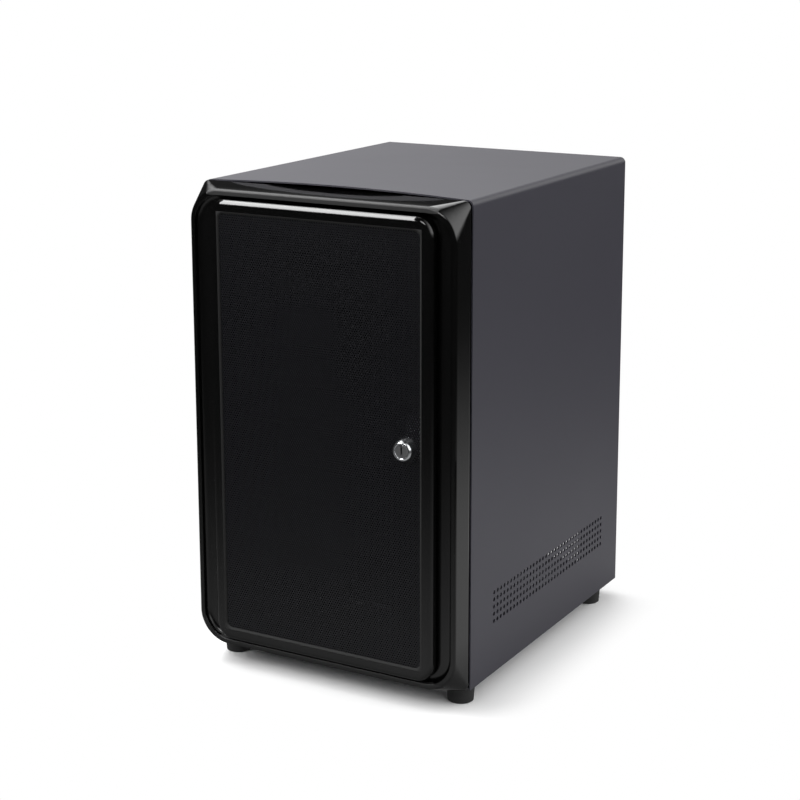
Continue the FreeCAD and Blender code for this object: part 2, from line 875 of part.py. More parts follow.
def make_slot_cover():
    top = bottom_z + slot_top_height + slot_cover_lap
    y0 = rear_plate_y + chassis_sheet
    cover = rounded_block(
        slot_x - slot_cover_width / 2, slot_x + slot_cover_width / 2 - tiny, io_z0 - slot_cover_sheet, top,
        slot_cover_sheet, y0, y0 + slot_cover_sheet,
    )
    return cover.cut(rod_y(
        screw_diameter / 2 + screw_clearance, y0 - overcut, y0 + 2 * overcut, slot_x, top - slot_cover_lap / 2
    ))


def make_slot_screw():
    z = bottom_z + slot_top_height + slot_cover_lap / 2
    head_y = rear_plate_y + chassis_sheet + slot_cover_sheet
    return screw_y(slot_x, z, head_y, rear_plate_y - screw_diameter)


def make_cover_screws():
    return Part.makeCompound([
        screw_y(x, z, rear_y, rear_plate_y - screw_diameter) for x, z in cover_screw_places
    ])


def make_bezel_screws():
    return Part.makeCompound([
        screw_y(x, z, front_plate_y + chassis_sheet, front_plate_y - boss_pilot_depth + overcut)
        for x, z in boss_places
    ])


def make_cage_screws():
    return Part.makeCompound([
        screw_z(
            x, y, shelf_z, first_tray_z - ledge_thickness,
            screw_diameter, screw_head_diameter, screw_head_height,
        )
        for x, y in cage_screw_places
    ])


def make_fan_screws():
    return Part.makeCompound([
        screw_y(x, z, rear_plate_y + chassis_sheet, rear_plate_y - 3 * screw_diameter) for x, z in fan_holes
    ])


def make_fan_frame():
    """Square end flanges joined by a round tube, with the motor base on four struts."""
    half = fan_size / 2
    y1 = rear_plate_y
    bore = rod_y(fan_bore / 2, fan_front_y - overcut, y1 + overcut, fan_x, fan_z)
    tube = rod_y(fan_bore / 2 + fan_tube_wall, fan_front_y, y1, fan_x, fan_z)
    pieces = [tube]
    for y in (fan_front_y, y1 - fan_flange):
        pieces.append(rounded_block(
            fan_x - half, fan_x + half, fan_z - half, fan_z + half, fan_corner, y, y + fan_flange
        ))
    square = rounded_block(
        fan_x - half, fan_x + half, fan_z - half, fan_z + half, fan_corner, fan_front_y, y1
    )
    frame = join(pieces).common(square).cut([bore])
    base_y = y1 - fan_base_depth
    base = rod_y(fan_base_radius, base_y, y1 - tiny, fan_x, fan_z)
    struts = []
    for turn in (0, 90):
        bar = box(
            -fan_bore / 2 - fan_tube_wall / 2, fan_bore / 2 + fan_tube_wall / 2,
            base_y, y1 - tiny, -fan_strut_width / 2, fan_strut_width / 2,
        )
        bar.rotate(vector(0, 0, 0), vector(0, 1, 0), turn)
        bar.translate(vector(fan_x, 0, fan_z))
        struts.append(bar)
    frame = join([frame, base] + struts)
    tools = [rod_y(fan_shaft_radius + pin_clearance, base_y - overcut, y1 + overcut, fan_x, fan_z)]
    for x, z in fan_holes:
        tools.append(rod_y(fan_screw_hole / 2, fan_front_y - overcut, y1 + overcut, x, z))
        tools.append(rod_y(screw_head_diameter / 2, fan_front_y + fan_flange, y1 - fan_flange, x, z))
    return frame.cut(tools)


def make_blade_section(radius, chord, angle, y):
    """Thin four-sided section of a blade, square to its radius."""
    lean = math.radians(angle)
    along = (math.cos(lean) * chord / 2, math.sin(lean) * chord / 2)
    across = (-math.sin(lean) * fan_blade_thickness / 2, math.cos(lean) * fan_blade_thickness / 2)
    corners = []
    for a, c in ((-1, -1), (1, -1), (1, 1), (-1, 1), (-1, -1)):
        corners.append(vector(
            fan_x + a * along[0] + c * across[0], y + a * along[1] + c * across[1], fan_z + radius
        ))
    return Part.makePolygon(corners)


def make_fan_rotor():
    """Hub with twisted blades on a short shaft that turns in the motor base."""
    hub_end = rear_plate_y - fan_base_depth - fan_hub_gap
    hub_start = hub_end - fan_hub_depth
    hub = rod_y(fan_hub_radius, hub_start, hub_end, fan_x, fan_z)
    hub = hub.makeFillet(overcut, edges_on_plane(hub, hub_start))
    shaft = rod_y(fan_shaft_radius, hub_end - tiny, rear_plate_y - fan_hub_gap, fan_x, fan_z)
    middle = (hub_start + hub_end) / 2
    blade = Part.makeLoft([
        make_blade_section(fan_hub_radius - 2 * overcut, fan_blade_chord_root, fan_blade_angle_root, middle),
        make_blade_section(
            fan_bore / 2 - fan_blade_clearance - overcut, fan_blade_chord_tip, fan_blade_angle_tip, middle
        ),
    ], True, True)
    pieces = [hub, shaft]
    for index in range(fan_blade_count):
        copy = blade.copy()
        copy.rotate(vector(fan_x, 0, fan_z), vector(0, 1, 0), index * 360 / fan_blade_count)
        pieces.append(copy)
    rotor = join(pieces)
    sweep = rod_y(fan_bore / 2 - fan_blade_clearance, hub_start - overcut, rear_plate_y, fan_x, fan_z)
    return rotor.common(sweep)


def make_dish():
    """Space inside the lip: a shallow dish whose floor meets the wall in a cove."""
    inset = lip_width
    radius = bezel_lip_corner - lip_width
    dish = rounded_block(
        -lip_half + inset, lip_half - inset, lip_low_z + inset, lip_high_z - inset, radius,
        lip_y - overcut, dish_y,
    )
    return dish.makeFillet(dish_cove, edges_on_plane(dish, dish_y))


def make_hinge_ears():
    ears = []
    for z in hinge_heights:
        low = z - ear_height / 2
        high = z + ear_height / 2
        neck = box(hinge_x - ear_radius, hinge_x + ear_radius, hinge_y, dish_y + overcut, low, high)
        ears.append(neck.fuse(rod_z(ear_radius, low, high, hinge_x, hinge_y)))
    return ears


def make_hinge_bores(radius, reach):
    return [rod_z(radius, z - reach, z + reach, hinge_x, hinge_y) for z in hinge_heights]


def make_front_bezel():
    """Moulded front: lofted outside, coved dish, windows with collars, bosses and hinge ears."""
    seam_outline = rounded_outline(-half_width, half_width, bottom_z, top_z, bezel_seam_corner, groove_y)
    lip_outline = rounded_outline(-lip_half, lip_half, lip_low_z, lip_high_z, bezel_lip_corner, lip_y)
    body = Part.makeLoft([seam_outline, lip_outline], True, True)
    body = body.makeFillet(lip_round, edges_on_plane(body, lip_y))
    inset = tongue_inset
    tongue = rounded_block(
        -half_width + inset, half_width - inset, bottom_z + inset, top_z - inset,
        bezel_seam_corner - inset / 2, groove_y - overcut, front_plate_y,
    )
    inset = bezel_wall
    hollow = rounded_block(
        -half_width + inset, half_width - inset, bottom_z + inset, top_z - inset,
        bezel_lip_corner - inset, floor_back_y, front_plate_y + overcut,
    )
    bezel = join([body, tongue]).cut([hollow, make_dish()])
    x0 = cage_centre_x - tray_window_half
    x1 = cage_centre_x + tray_window_half
    collar = box(
        x0 - collar_wall, x1 + collar_wall, floor_back_y - tiny, seam_y - collar_setback,
        tray_window_low - collar_wall, tray_window_high + collar_wall,
    )
    bosses = [rod_y(boss_diameter / 2, floor_back_y - tiny, front_plate_y, x, z) for x, z in boss_places]
    bezel = join([bezel, collar] + bosses + make_hinge_ears())
    tools = [
        box(x0, x1, lip_y, front_plate_y, tray_window_low, tray_window_high),
        rounded_block(
            -control_half_width, control_half_width, control_low_z, control_high_z, flange / 4,
            lip_y, floor_back_y + overcut,
        ),
        rounded_block(
            lock_x - barrel_diameter / 2 - keeper_clearance, lock_x + barrel_diameter / 2 + keeper_clearance,
            lock_z - barrel_diameter / 2 - keeper_clearance, lock_z + cam_length + keeper_clearance,
            flange / 4, lip_y, floor_back_y + overcut,
        ),
    ]
    pilot = screw_diameter / 2 + thread_clearance
    for x, z in boss_places:
        tools.append(rod_y(pilot, front_plate_y - boss_pilot_depth, front_plate_y + overcut, x, z))
    tools += make_hinge_bores(pin_diameter / 2 + pin_clearance, ear_height)
    return bezel.cut(tools)


def make_hinge_pockets():
    """Room in the frame for each ear, open at the back and, for the swing, at the left."""
    room = ear_radius + ear_gap
    back = hinge_floor_distance + overcut
    side = hinge_inset + 2 * overcut
    swing = room + overcut
    outline = ((room, back), (room, -room), (0, -room), (-side, -swing), (-side, back))
    pockets = []
    for z in hinge_heights:
        low = z - ear_height / 2 - ear_gap
        corners = [vector(hinge_x + x, hinge_y + y, low) for x, y in outline]
        face = Part.Face(Part.makePolygon(corners + corners[:1]))
        pockets.append(face.extrude(vector(0, 0, ear_height + 2 * ear_gap)))
    return pockets


def make_door_tabs():
    """Snap tabs behind the rim of the mesh, on all four sides of the frame."""
    tabs = []
    wall = door_half - door_border + mesh_overlap + mesh_clearance
    low = door_low_z + door_border - mesh_overlap - mesh_clearance
    high = door_high_z - door_border + mesh_overlap + mesh_clearance
    y0 = mesh_back_y
    y1 = mesh_back_y + tab_thickness
    for index in range(tab_count):
        z = low + (high - low) * (index + 1) / (tab_count + 1)
        tabs.append(box(wall - tab_reach, wall + overcut, y0, y1, z - tab_length / 2, z + tab_length / 2))
        tabs.append(box(-wall - overcut, -wall + tab_reach, y0, y1, z - tab_length / 2, z + tab_length / 2))
    for x in (-door_half / 2, 0, door_half / 2):
        tabs.append(box(x - tab_length / 2, x + tab_length / 2, y0, y1, low - overcut, low + tab_reach))
        tabs.append(box(x - tab_length / 2, x + tab_length / 2, y0, y1, high - tab_reach, high + overcut))
    return tabs


def make_door_frame():
    """Rounded frame, stepped behind, that holds the mesh and turns on the two pins."""
    outer = rounded_block(
        -door_half, door_half, door_low_z, door_high_z, door_corner, door_front_y, door_back_y
    )
    outer = outer.makeFillet(door_edge_round, edges_on_plane(outer, door_front_y))
    outer = outer.makeFillet(door_back_round, edges_on_plane(outer, door_back_y))
    border = door_border
    opening = rounded_block(
        -door_half + border, door_half - border, door_low_z + border, door_high_z - border,
        mesh_corner, door_front_y - overcut, door_back_y + overcut,
    )
    bevel_outlines = [
        rounded_outline(
            -door_half + border - widening, door_half - border + widening,
            door_low_z + border - widening, door_high_z - border + widening, mesh_corner + widening, y,
        )
        for widening, y in ((door_bevel, door_front_y), (0, door_front_y + door_bevel_depth))
    ]
    bevel = Part.makeLoft(bevel_outlines, True, True)
    border = door_border - mesh_overlap - mesh_clearance
    rebate = rounded_block(
        -door_half + border, door_half - border, door_low_z + border, door_high_z - border,
        mesh_corner + mesh_overlap, mesh_front_y, door_back_y + overcut,
    )
    frame = join([outer.cut([opening, bevel, rebate])] + make_door_tabs())
    reach = ear_height / 2 + ear_gap + pin_grip + overcut
    bores = make_hinge_bores(pin_diameter / 2 + thread_clearance, reach)
    return frame.cut(make_hinge_pockets() + bores)


def make_door_mesh():
    """Steel panel of the door; its holes are too fine to be cut here."""
    border = door_border - mesh_overlap
    panel = rounded_block(
        -door_half + border, door_half - border, door_low_z + border, door_high_z - border,
        mesh_corner + mesh_overlap, mesh_front_y, mesh_back_y,
    )
    return panel.cut(rod_y(
        barrel_diameter / 2 + plug_clearance, mesh_front_y - overcut, mesh_back_y + overcut, lock_x, lock_z
    ))


def make_hinge_pins():
    reach = ear_height / 2 + ear_gap + pin_grip
    return Part.makeCompound(make_hinge_bores(pin_diameter / 2, reach))


def make_lock_body():
    """Chromed barrel with a tapered ring that stands on the mesh."""
    bore = plug_diameter / 2 + plug_clearance
    ring = lock_ring_diameter / 2
    face = lock_face_diameter / 2
    barrel = barrel_diameter / 2
    shoulder = lock_front_y + (mesh_front_y - lock_front_y) / 2
    return turned((
        (bore, barrel_end_y),
        (barrel, barrel_end_y),
        (barrel, mesh_front_y),
        (ring, mesh_front_y),
        (ring, shoulder),
        ((ring + face) / 2 + lip_round / 4, lock_front_y + lip_round / 2),
        (face, lock_front_y),
        (bore + lip_round / 2, lock_front_y),
        (bore, lock_front_y + lip_round / 2),
    ), lock_x, lock_z)


def make_lock_plug():
    """Plug with its key slot, turning in the barrel, and the tail that carries the cam."""
    front = lock_front_y + lip_round / 2
    plug = rod_y(plug_diameter / 2, front, cam_front_y, lock_x, lock_z)
    tail = rod_y(tail_diameter / 2, cam_front_y - tiny, cam_back_y, lock_x, lock_z)
    slot = box(
        lock_x - keyway_width / 2, lock_x + keyway_width / 2, front - overcut, front + keyway_depth,
        lock_z - keyway_length / 2, lock_z + keyway_length / 2,
    )
    notch = box(
        lock_x - keyway_width, lock_x + keyway_width, front - overcut, front + keyway_depth / 2,
        lock_z + plug_diameter / 2 - keyway_width, lock_z + plug_diameter / 2 + overcut,
    )
    hole = rod_y(
        cam_screw_diameter / 2 + thread_clearance, cam_front_y - tail_diameter, cam_back_y + overcut,
        lock_x, lock_z,
    )
    return join([plug, tail]).cut([slot, notch, hole])


def make_lock_nut():
    radius = nut_across / math.sqrt(3)
    corners = []
    for turn in range(0, 420, 60):
        angle = math.radians(turn)
        corners.append(vector(
            lock_x + radius * math.cos(angle), mesh_back_y, lock_z + radius * math.sin(angle)
        ))
    nut = Part.Face(Part.makePolygon(corners)).extrude(vector(0, nut_thickness, 0))
    return nut.cut(rod_y(
        barrel_diameter / 2 + thread_clearance, mesh_back_y - overcut, mesh_back_y + nut_thickness + overcut,
        lock_x, lock_z,
    ))


def make_lock_cam():
    """Cam bar that points up while the door is unlocked."""
    half = cam_width / 2
    cam = rounded_block(
        lock_x - half, lock_x + half, lock_z - half, lock_z + cam_length, half - tiny, cam_front_y, cam_back_y
    )
    return cam.cut(rod_y(
        tail_diameter / 2 + thread_clearance, cam_front_y - overcut, cam_back_y + overcut, lock_x, lock_z
    ))


def make_cam_screw():
    head = rod_y(cam_screw_head / 2, cam_back_y, cam_back_y + cam_screw_head_height, lock_x, lock_z)
    shank = rod_y(cam_screw_diameter / 2, cam_front_y - tail_diameter / 2, cam_back_y, lock_x, lock_z)
    return head.fuse(shank)


def make_control_panel():
    """Inner panel with the button, light and socket holes, held on posts between bezel and steel."""
    lap = control_lap
    y0 = floor_back_y
    y1 = control_back_y
    pieces = [rounded_block(
        -control_half_width - lap, control_half_width + lap, control_low_z - lap, control_high_z + lap,
        flange / 4, y0, y1,
    )]
    for x, z in control_posts:
        pieces.append(rod_y(control_post_diameter / 2, y1 - tiny, front_plate_y, x, z))
    tools = []
    for x, diameter in ((power_button_x, power_button_diameter), (reset_button_x, reset_button_diameter)):
        tools.append(rod_y(diameter / 2 + button_clearance, y0 - overcut, y1 + overcut, x, control_mid_z))
    for place in (0, 1):
        x = led_x + place * led_spacing
        tools.append(rod_y(led_diameter / 2 + thread_clearance, y0 - overcut, y1 + overcut, x, control_mid_z))
        x = usb_x + place * usb_spacing
        half_x = usb_width / 2 + usb_clearance
        half_z = usb_height / 2 + usb_clearance
        tools.append(box(
            x - half_x, x + half_x, y0 - overcut, y1 + overcut, control_mid_z - half_z, control_mid_z + half_z
        ))
    return join(pieces).cut(tools)


def make_button(x, diameter):
    """Moulded button with a flange behind the panel and a stem towards its switch."""
    front = floor_back_y - button_proud
    stem_end = button_board_y - switch_height - button_travel - button_clearance
    cap = rod_y(diameter / 2, front, control_back_y + button_clearance, x, control_mid_z)
    cap = cap.makeFillet(button_proud / 3, edges_on_plane(cap, front))
    rim_start = control_back_y + button_clearance / 2
    rim = rod_y(
        diameter / 2 + button_flange_lap, rim_start, rim_start + button_flange, x, control_mid_z
    )
    stem = rod_y(diameter * stem_ratio / 2, rim_start, stem_end, x, control_mid_z)
    return join([cap, rim, stem])


def make_button_board():
    half_x = control_half_width - control_post_diameter
    board = box(
        -half_x, half_x, button_board_y, button_board_y + button_board_sheet,
        control_mid_z - button_board_half_height, control_mid_z + button_board_half_height,
    )
    return board.cut([
        rod_y(
            control_post_diameter / 2 + screw_clearance, button_board_y - overcut,
            button_board_y + button_board_sheet + overcut, x, z,
        )
        for x, z in control_posts
    ])


def make_button_switches():
    half = switch_size / 2
    return Part.makeCompound([
        box(
            x - half, x + half, button_board_y - switch_height, button_board_y,
            control_mid_z - half, control_mid_z + half,
        )
        for x in (power_button_x, reset_button_x)
    ])


def make_usb_ports():
    """Two sockets on the button board that reach through the panel."""
    ports = []
    y0 = floor_back_y - chassis_gap
    y1 = button_board_y
    for place in (0, 1):
        x = usb_x + place * usb_spacing
        shell = box(
            x - usb_width / 2, x + usb_width / 2, y0, y1,
            control_mid_z - usb_height / 2, control_mid_z + usb_height / 2,
        )
        inside = box(
            x - usb_width / 2 + usb_shell, x + usb_width / 2 - usb_shell, y0 - overcut, y1 - 2 * overcut,
            control_mid_z - usb_height / 2 + usb_shell, control_mid_z + usb_height / 2 - usb_shell,
        )
        tongue = box(
            x - usb_width / 2 + 3 * usb_shell, x + usb_width / 2 - 3 * usb_shell, y0 + overcut, y1 - overcut,
            control_mid_z, control_mid_z + usb_tongue,
        )
        ports.append(join([shell.cut(inside), tongue]))
    return Part.makeCompound(ports)


def make_led_lenses():
    return Part.makeCompound([
        rod_y(
            led_diameter / 2, floor_back_y - chassis_gap, button_board_y,
            led_x + place * led_spacing, control_mid_z,
        )
        for place in (0, 1)
    ])


def save(name, shape):
    shape.exportStep(os.path.join("parts", name + ".step"))


def main():
    os.makedirs("parts", exist_ok=True)
    save("outer_cover", make_outer_cover())
    save("base_tray", make_base_tray())
    save("front_panel", make_front_panel())
    save("rear_panel", make_rear_panel())
    save("mid_shelf", make_mid_shelf())
    save("drive_cage", make_drive_cage())
    save("drive_backplane", make_backplane())
    save("backplane_connectors", make_backplane_connectors())
    for index in range(tray_count):
        save("drive_tray_%d" % (index + 1), make_drive_tray(index))
        save("tray_lever_%d" % (index + 1), make_tray_lever(index))
    for index, (x, y) in enumerate(foot_places):
        save("rubber_foot_%d" % (index + 1), make_foot(x, y))
    save("foot_screws", make_foot_screws())
    save("board_standoffs", make_standoffs())
    save("supply_bracket", make_supply_bracket())
    save("slot_cover", make_slot_cover())
    save("slot_screw", make_slot_screw())
    save("cover_screws", make_cover_screws())
    save("bezel_screws", make_bezel_screws())
    save("cage_screws", make_cage_screws())
    save("fan_frame", make_fan_frame())
    save("fan_rotor", make_fan_rotor())
    save("fan_screws", make_fan_screws())
    save("front_bezel", make_front_bezel())
    save("door_frame", make_door_frame())
    save("door_mesh", make_door_mesh())
    save("door_hinge_pins", make_hinge_pins())
    save("lock_body", make_lock_body())
    save("lock_plug", make_lock_plug())
    save("lock_nut", make_lock_nut())
    save("lock_cam", make_lock_cam())
    save("cam_screw", make_cam_screw())
    save("control_panel", make_control_panel())
    save("power_button", make_button(power_button_x, power_button_diameter))
    save("reset_button", make_button(reset_button_x, reset_button_diameter))
    save("button_board", make_button_board())
    save("button_switches", make_button_switches())
    save("usb_ports", make_usb_ports())
    save("led_lenses", make_led_lenses())


main()
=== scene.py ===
"""Finishes, door mesh, lock, screws and studio for the upright mini-ITX computer case."""
import bmesh
import bpy
import math
from mathutils import Matrix, Vector


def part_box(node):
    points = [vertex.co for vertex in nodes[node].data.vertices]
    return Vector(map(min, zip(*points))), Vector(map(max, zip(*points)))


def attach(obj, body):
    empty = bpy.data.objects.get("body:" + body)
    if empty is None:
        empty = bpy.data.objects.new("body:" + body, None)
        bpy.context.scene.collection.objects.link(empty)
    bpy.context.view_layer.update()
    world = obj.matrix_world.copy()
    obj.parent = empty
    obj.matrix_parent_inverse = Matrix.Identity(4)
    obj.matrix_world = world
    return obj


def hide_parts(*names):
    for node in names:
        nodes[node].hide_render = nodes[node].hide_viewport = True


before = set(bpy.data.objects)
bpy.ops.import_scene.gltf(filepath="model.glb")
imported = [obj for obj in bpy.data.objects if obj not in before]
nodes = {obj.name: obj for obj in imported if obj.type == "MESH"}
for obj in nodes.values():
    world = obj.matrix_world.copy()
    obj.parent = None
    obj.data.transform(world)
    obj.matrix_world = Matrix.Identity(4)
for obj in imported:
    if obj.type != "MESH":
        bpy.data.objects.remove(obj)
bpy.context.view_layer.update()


# Camera: a short telephoto to the right of the case and a little above it, standing where
# the photograph was taken from. The photograph is cropped from below the middle of its lens,
# so the frame is shifted by a tenth.
azimuth = math.radians(29.637)
elevation = math.radians(12.239)
roll = math.radians(-0.107)
camera_at = (0.60689, -1.09066, 0.50010)
towards_camera = Vector((
    math.sin(azimuth) * math.cos(elevation),
    -math.cos(azimuth) * math.cos(elevation),
    math.sin(elevation),
))
level_right = Vector((0, 0, 1)).cross(towards_camera).normalized()
level_up = towards_camera.cross(level_right)
right = level_right * math.cos(roll) + level_up * math.sin(roll)
up = level_up * math.cos(roll) - level_right * math.sin(roll)
camera = bpy.data.objects.new("camera", bpy.data.cameras.new("camera"))
camera.data.sensor_width = 36
camera.data.lens = 82.027
camera.data.shift_y = -0.10454
camera.data.clip_end = 60
turned = Matrix((right, up, towards_camera)).transposed().to_4x4()
camera.matrix_world = Matrix.Translation(camera_at) @ turned
bpy.context.collection.objects.link(camera)
bpy.context.scene.camera = camera


# Studio: a white table top in a dark room with white cards to the right and over the back.
# The gloss front mirrors the table's painted pool of light near the case and the dark beyond.
def colour(code):
    """Turns an sRGB hex colour into the linear values that sockets take."""
    channels = [int(code[i:i + 2], 16) / 255 for i in (1, 3, 5)]
    linear = [c / 12.92 if c <= 0.04045 else ((c + 0.055) / 1.055) ** 2.4 for c in channels]
    return tuple(linear + [1.0])


def add(tree, kind, settings=None, links=None):
    """Adds a node with its settings, and links the sockets that feed it."""
    node = tree.nodes.new(kind)
    for name, value in (settings or {}).items():
        if isinstance(name, int) or name in node.inputs:
            node.inputs[name].default_value = value
        else:
            setattr(node, name, value)
    for name, source in (links or {}).items():
        if isinstance(source, bpy.types.NodeSocket):
            tree.links.new(source, node.inputs[name])
        else:
            node.inputs[name].default_value = source
    return node


def new_material(name):
    """An empty material with its node tree and the socket that takes its surface."""
    material = bpy.data.materials.new(name)
    material.use_nodes = True
    tree = material.node_tree
    tree.nodes.clear()
    return material, tree, add(tree, "ShaderNodeOutputMaterial").inputs["Surface"]


# The three kinds of node that are used most.
maths, vectors, ranges = "ShaderNodeMath", "ShaderNodeVectorMath", "ShaderNodeMapRange"
white = (1, 1, 1, 1)
half_foot = (0.095, 0.125, 0)
pool_middle = (0.15, 0.12, 0)
pool_radius = 0.51
pool_dark, pool_bright = 0.035, 0.58
painted_shadow_reach, painted_shadow_level = 0.07, 0.3
paper_reach = 0.05
floor_finish, tree, surface = new_material("matt white studio floor")
floor_finish.cycles.emission_sampling = "NONE"
place = add(tree, "ShaderNodeTexCoord").outputs["Object"]
matt = add(tree, "ShaderNodeBsdfDiffuse", {"Color": colour("#f4f4f4")}).outputs[0]
# How far a spot of the table is from the foot of the case.
size_out = add(tree, vectors, {"operation": "ABSOLUTE"}, {0: place}).outputs[0]
beyond = add(tree, vectors, {"operation": "SUBTRACT", 1: half_foot}, {0: size_out}).outputs[0]
outside = add(tree, vectors, {"operation": "MAXIMUM", 1: (0, 0, 0)}, {0: beyond}).outputs[0]
from_case = add(tree, vectors, {"operation": "LENGTH"}, {0: outside}).outputs["Value"]
# What gloss shows: a painted pool of light, emission on the table that fades into a dark
# room, with a painted shadow of the case in it.
from_middle = add(tree, vectors, {"operation": "DISTANCE", 1: pool_middle}, {0: place})
spread = add(tree, maths, {"operation": "DIVIDE", 1: pool_radius},
             {0: from_middle.outputs["Value"]}).outputs[0]
squared = add(tree, maths, {"operation": "POWER", 1: 2.0}, {0: spread}).outputs[0]
fallen = add(tree, maths, {"operation": "MULTIPLY", 1: -1.0}, {0: squared}).outputs[0]
bell = add(tree, maths, {"operation": "EXPONENT"}, {0: fallen}).outputs[0]
level = add(tree, ranges, {"To Min": pool_dark, "To Max": pool_bright},
            {"Value": bell}).outputs["Result"]
# Painted shadow: the pool is dimmed towards the foot of the case, to three tenths at the foot and
# full at 7 cm.
painted_shadow = add(tree, ranges, {"From Max": painted_shadow_reach, "To Min": painted_shadow_level},
             {"Value": from_case}).outputs["Result"]
painted_pool = add(tree, maths, {"operation": "MULTIPLY"}, {0: level, 1: painted_shadow}).outputs[0]
mirrored = add(tree, "ShaderNodeEmission", {"Color": white}, {"Strength": painted_pool}).outputs[0]
# What the camera sees: white paper that keeps the shadow next to the case.
fade = add(tree, ranges, {"From Max": paper_reach, "interpolation_type": "SMOOTHSTEP"},
           {"Value": from_case}).outputs["Result"]
paper = add(tree, "ShaderNodeEmission", {"Color": white, "Strength": 1.0}).outputs[0]
seen = add(tree, "ShaderNodeMixShader", {}, {0: fade, 1: matt, 2: paper}).outputs[0]
ray = add(tree, "ShaderNodeLightPath").outputs
unseen = add(tree, "ShaderNodeMixShader", {},
             {0: ray["Is Glossy Ray"], 1: matt, 2: mirrored}).outputs[0]
straight = add(tree, maths, {"operation": "MAXIMUM"},
               {0: ray["Is Camera Ray"], 1: ray["Is Transmission Ray"]}).outputs[0]
either = add(tree, "ShaderNodeMixShader", {}, {0: straight, 1: unseen, 2: seen}).outputs[0]
tree.links.new(either, surface)
floor_half = 9.0
signs = ((-1, -1), (1, -1), (1, 1), (-1, 1))
corners = [(sx * floor_half, sy * floor_half, 0) for sx, sy in signs]
mesh = bpy.data.meshes.new("floor")
mesh.from_pydata(corners, [], [(0, 1, 2, 3)])
mesh.materials.append(floor_finish)
floor = bpy.data.objects.new("floor", mesh)
bpy.context.collection.objects.link(floor)

# Each card is given by its direction, the cosines at which it starts and is full, and its
# strength. The one at the right fades towards the horizon, so that gloss shows no edge there.
room_level = 0.03
horizon_fade, horizon_level = 0.3, 0.12
world = bpy.data.worlds.new("dark room with white cards")
world.use_nodes = True
tree = world.node_tree
tree.nodes.clear()
surface = add(tree, "ShaderNodeOutputWorld").inputs["Surface"]
place = add(tree, "ShaderNodeTexCoord").outputs["Generated"]
cards = []
for towards, edge, heart, strength in (
    ((0.96, 0.28, 0.05), 0.05, 0.9, 2.2),
    ((-0.42, 0.52, 0.744), 0.83, 0.99, 3.3),
):
    facing = add(tree, vectors, {"operation": "DOT_PRODUCT", 1: towards}, {0: place})
    cards.append(add(tree, ranges, {
        "From Min": edge, "From Max": heart, "To Max": strength,
        "interpolation_type": "SMOOTHSTEP",
    }, {"Value": facing.outputs["Value"]}).outputs["Result"])
right_card, back_card = cards
height = add(tree, "ShaderNodeSeparateXYZ", {}, {0: place}).outputs["Z"]
raised = add(tree, ranges, {
    "From Max": horizon_fade, "To Min": horizon_level, "interpolation_type": "SMOOTHSTEP",
}, {"Value": height}).outputs["Result"]
faded = add(tree, maths, {"operation": "MULTIPLY"}, {0: right_card, 1: raised}).outputs[0]
both = add(tree, maths, {"operation": "ADD"}, {0: faded, 1: back_card}).outputs[0]
level = add(tree, maths, {"operation": "ADD", 1: room_level}, {0: both}).outputs[0]
room = add(tree, "ShaderNodeBackground", {"Color": white}, {"Strength": level}).outputs[0]
backdrop = add(tree, "ShaderNodeBackground", {"Color": white, "Strength": 1.0}).outputs[0]
ray = add(tree, "ShaderNodeLightPath").outputs
straight = add(tree, maths, {"operation": "MAXIMUM"},
               {0: ray["Is Camera Ray"], 1: ray["Is Transmission Ray"]}).outputs[0]
either = add(tree, "ShaderNodeMixShader", {}, {0: straight, 1: room, 2: backdrop}).outputs[0]
tree.links.new(either, surface)
bpy.context.scene.world = world

# Two softboxes bend over the left shoulder of the case, from in front of it to above it, and a
# small one above the camera's side picks out the lock. Each is given by its middle, what it
# faces, the direction of its length, its size and its power.
for name, at, aim, along, size, watts in (
    ("front softbox", (-0.73, -0.83, 1.09), (0, -0.13, 0.32), (0, 0.69, 0.72), (0.45, 1.35), 24),
    ("top softbox", (-0.69, 0.05, 1.5), (0, -0.1, 0.32), (0, 1, 0), (0.45, 0.9), 8),
    ("small softbox", (0.05, -1.35, 1.22), (0.06, -0.13, 0.17), (1, 0, 0), (0.45, 0.45), 4),
):
    lamp = bpy.data.lights.new(name, "AREA")
    lamp.shape = "RECTANGLE"
    lamp.size, lamp.size_y = size
    lamp.energy = watts
    back = (Vector(at) - Vector(aim)).normalized()
    width = Vector(along).cross(back).normalized()
    turned = Matrix((width, back.cross(width), back)).transposed().to_4x4()
    box = bpy.data.objects.new(name, lamp)
    box.matrix_world = Matrix.Translation(at) @ turned
    bpy.context.collection.objects.link(box)
bpy.context.scene.view_settings.view_transform = "Standard"


# Outer cover, rear panel, base tray and shelf: steel sheet, punched, folded and sprayed with
# fine black powder. The cover drops over the chassis and is screwed on at the rear.
def grain(tree, place, millimetres, strength, depth=0.02):
    """Normals of an even grain, with its spacing and its depth in real millimetres."""
    noise = add(tree, "ShaderNodeTexNoise", {"Scale": 1000 / millimetres, "Detail": 2.0},
                {"Vector": place})
    bump = add(tree, "ShaderNodeBump", {"Strength": strength, "Distance": depth / 1000},
               {"Height": noise.outputs["Fac"]})
    return bump.outputs["Normal"]


def coat(material, *names):
    """Gives the named solids their finish."""
    for name in names:
        for slot in nodes[name].material_slots:
            slot.material = material


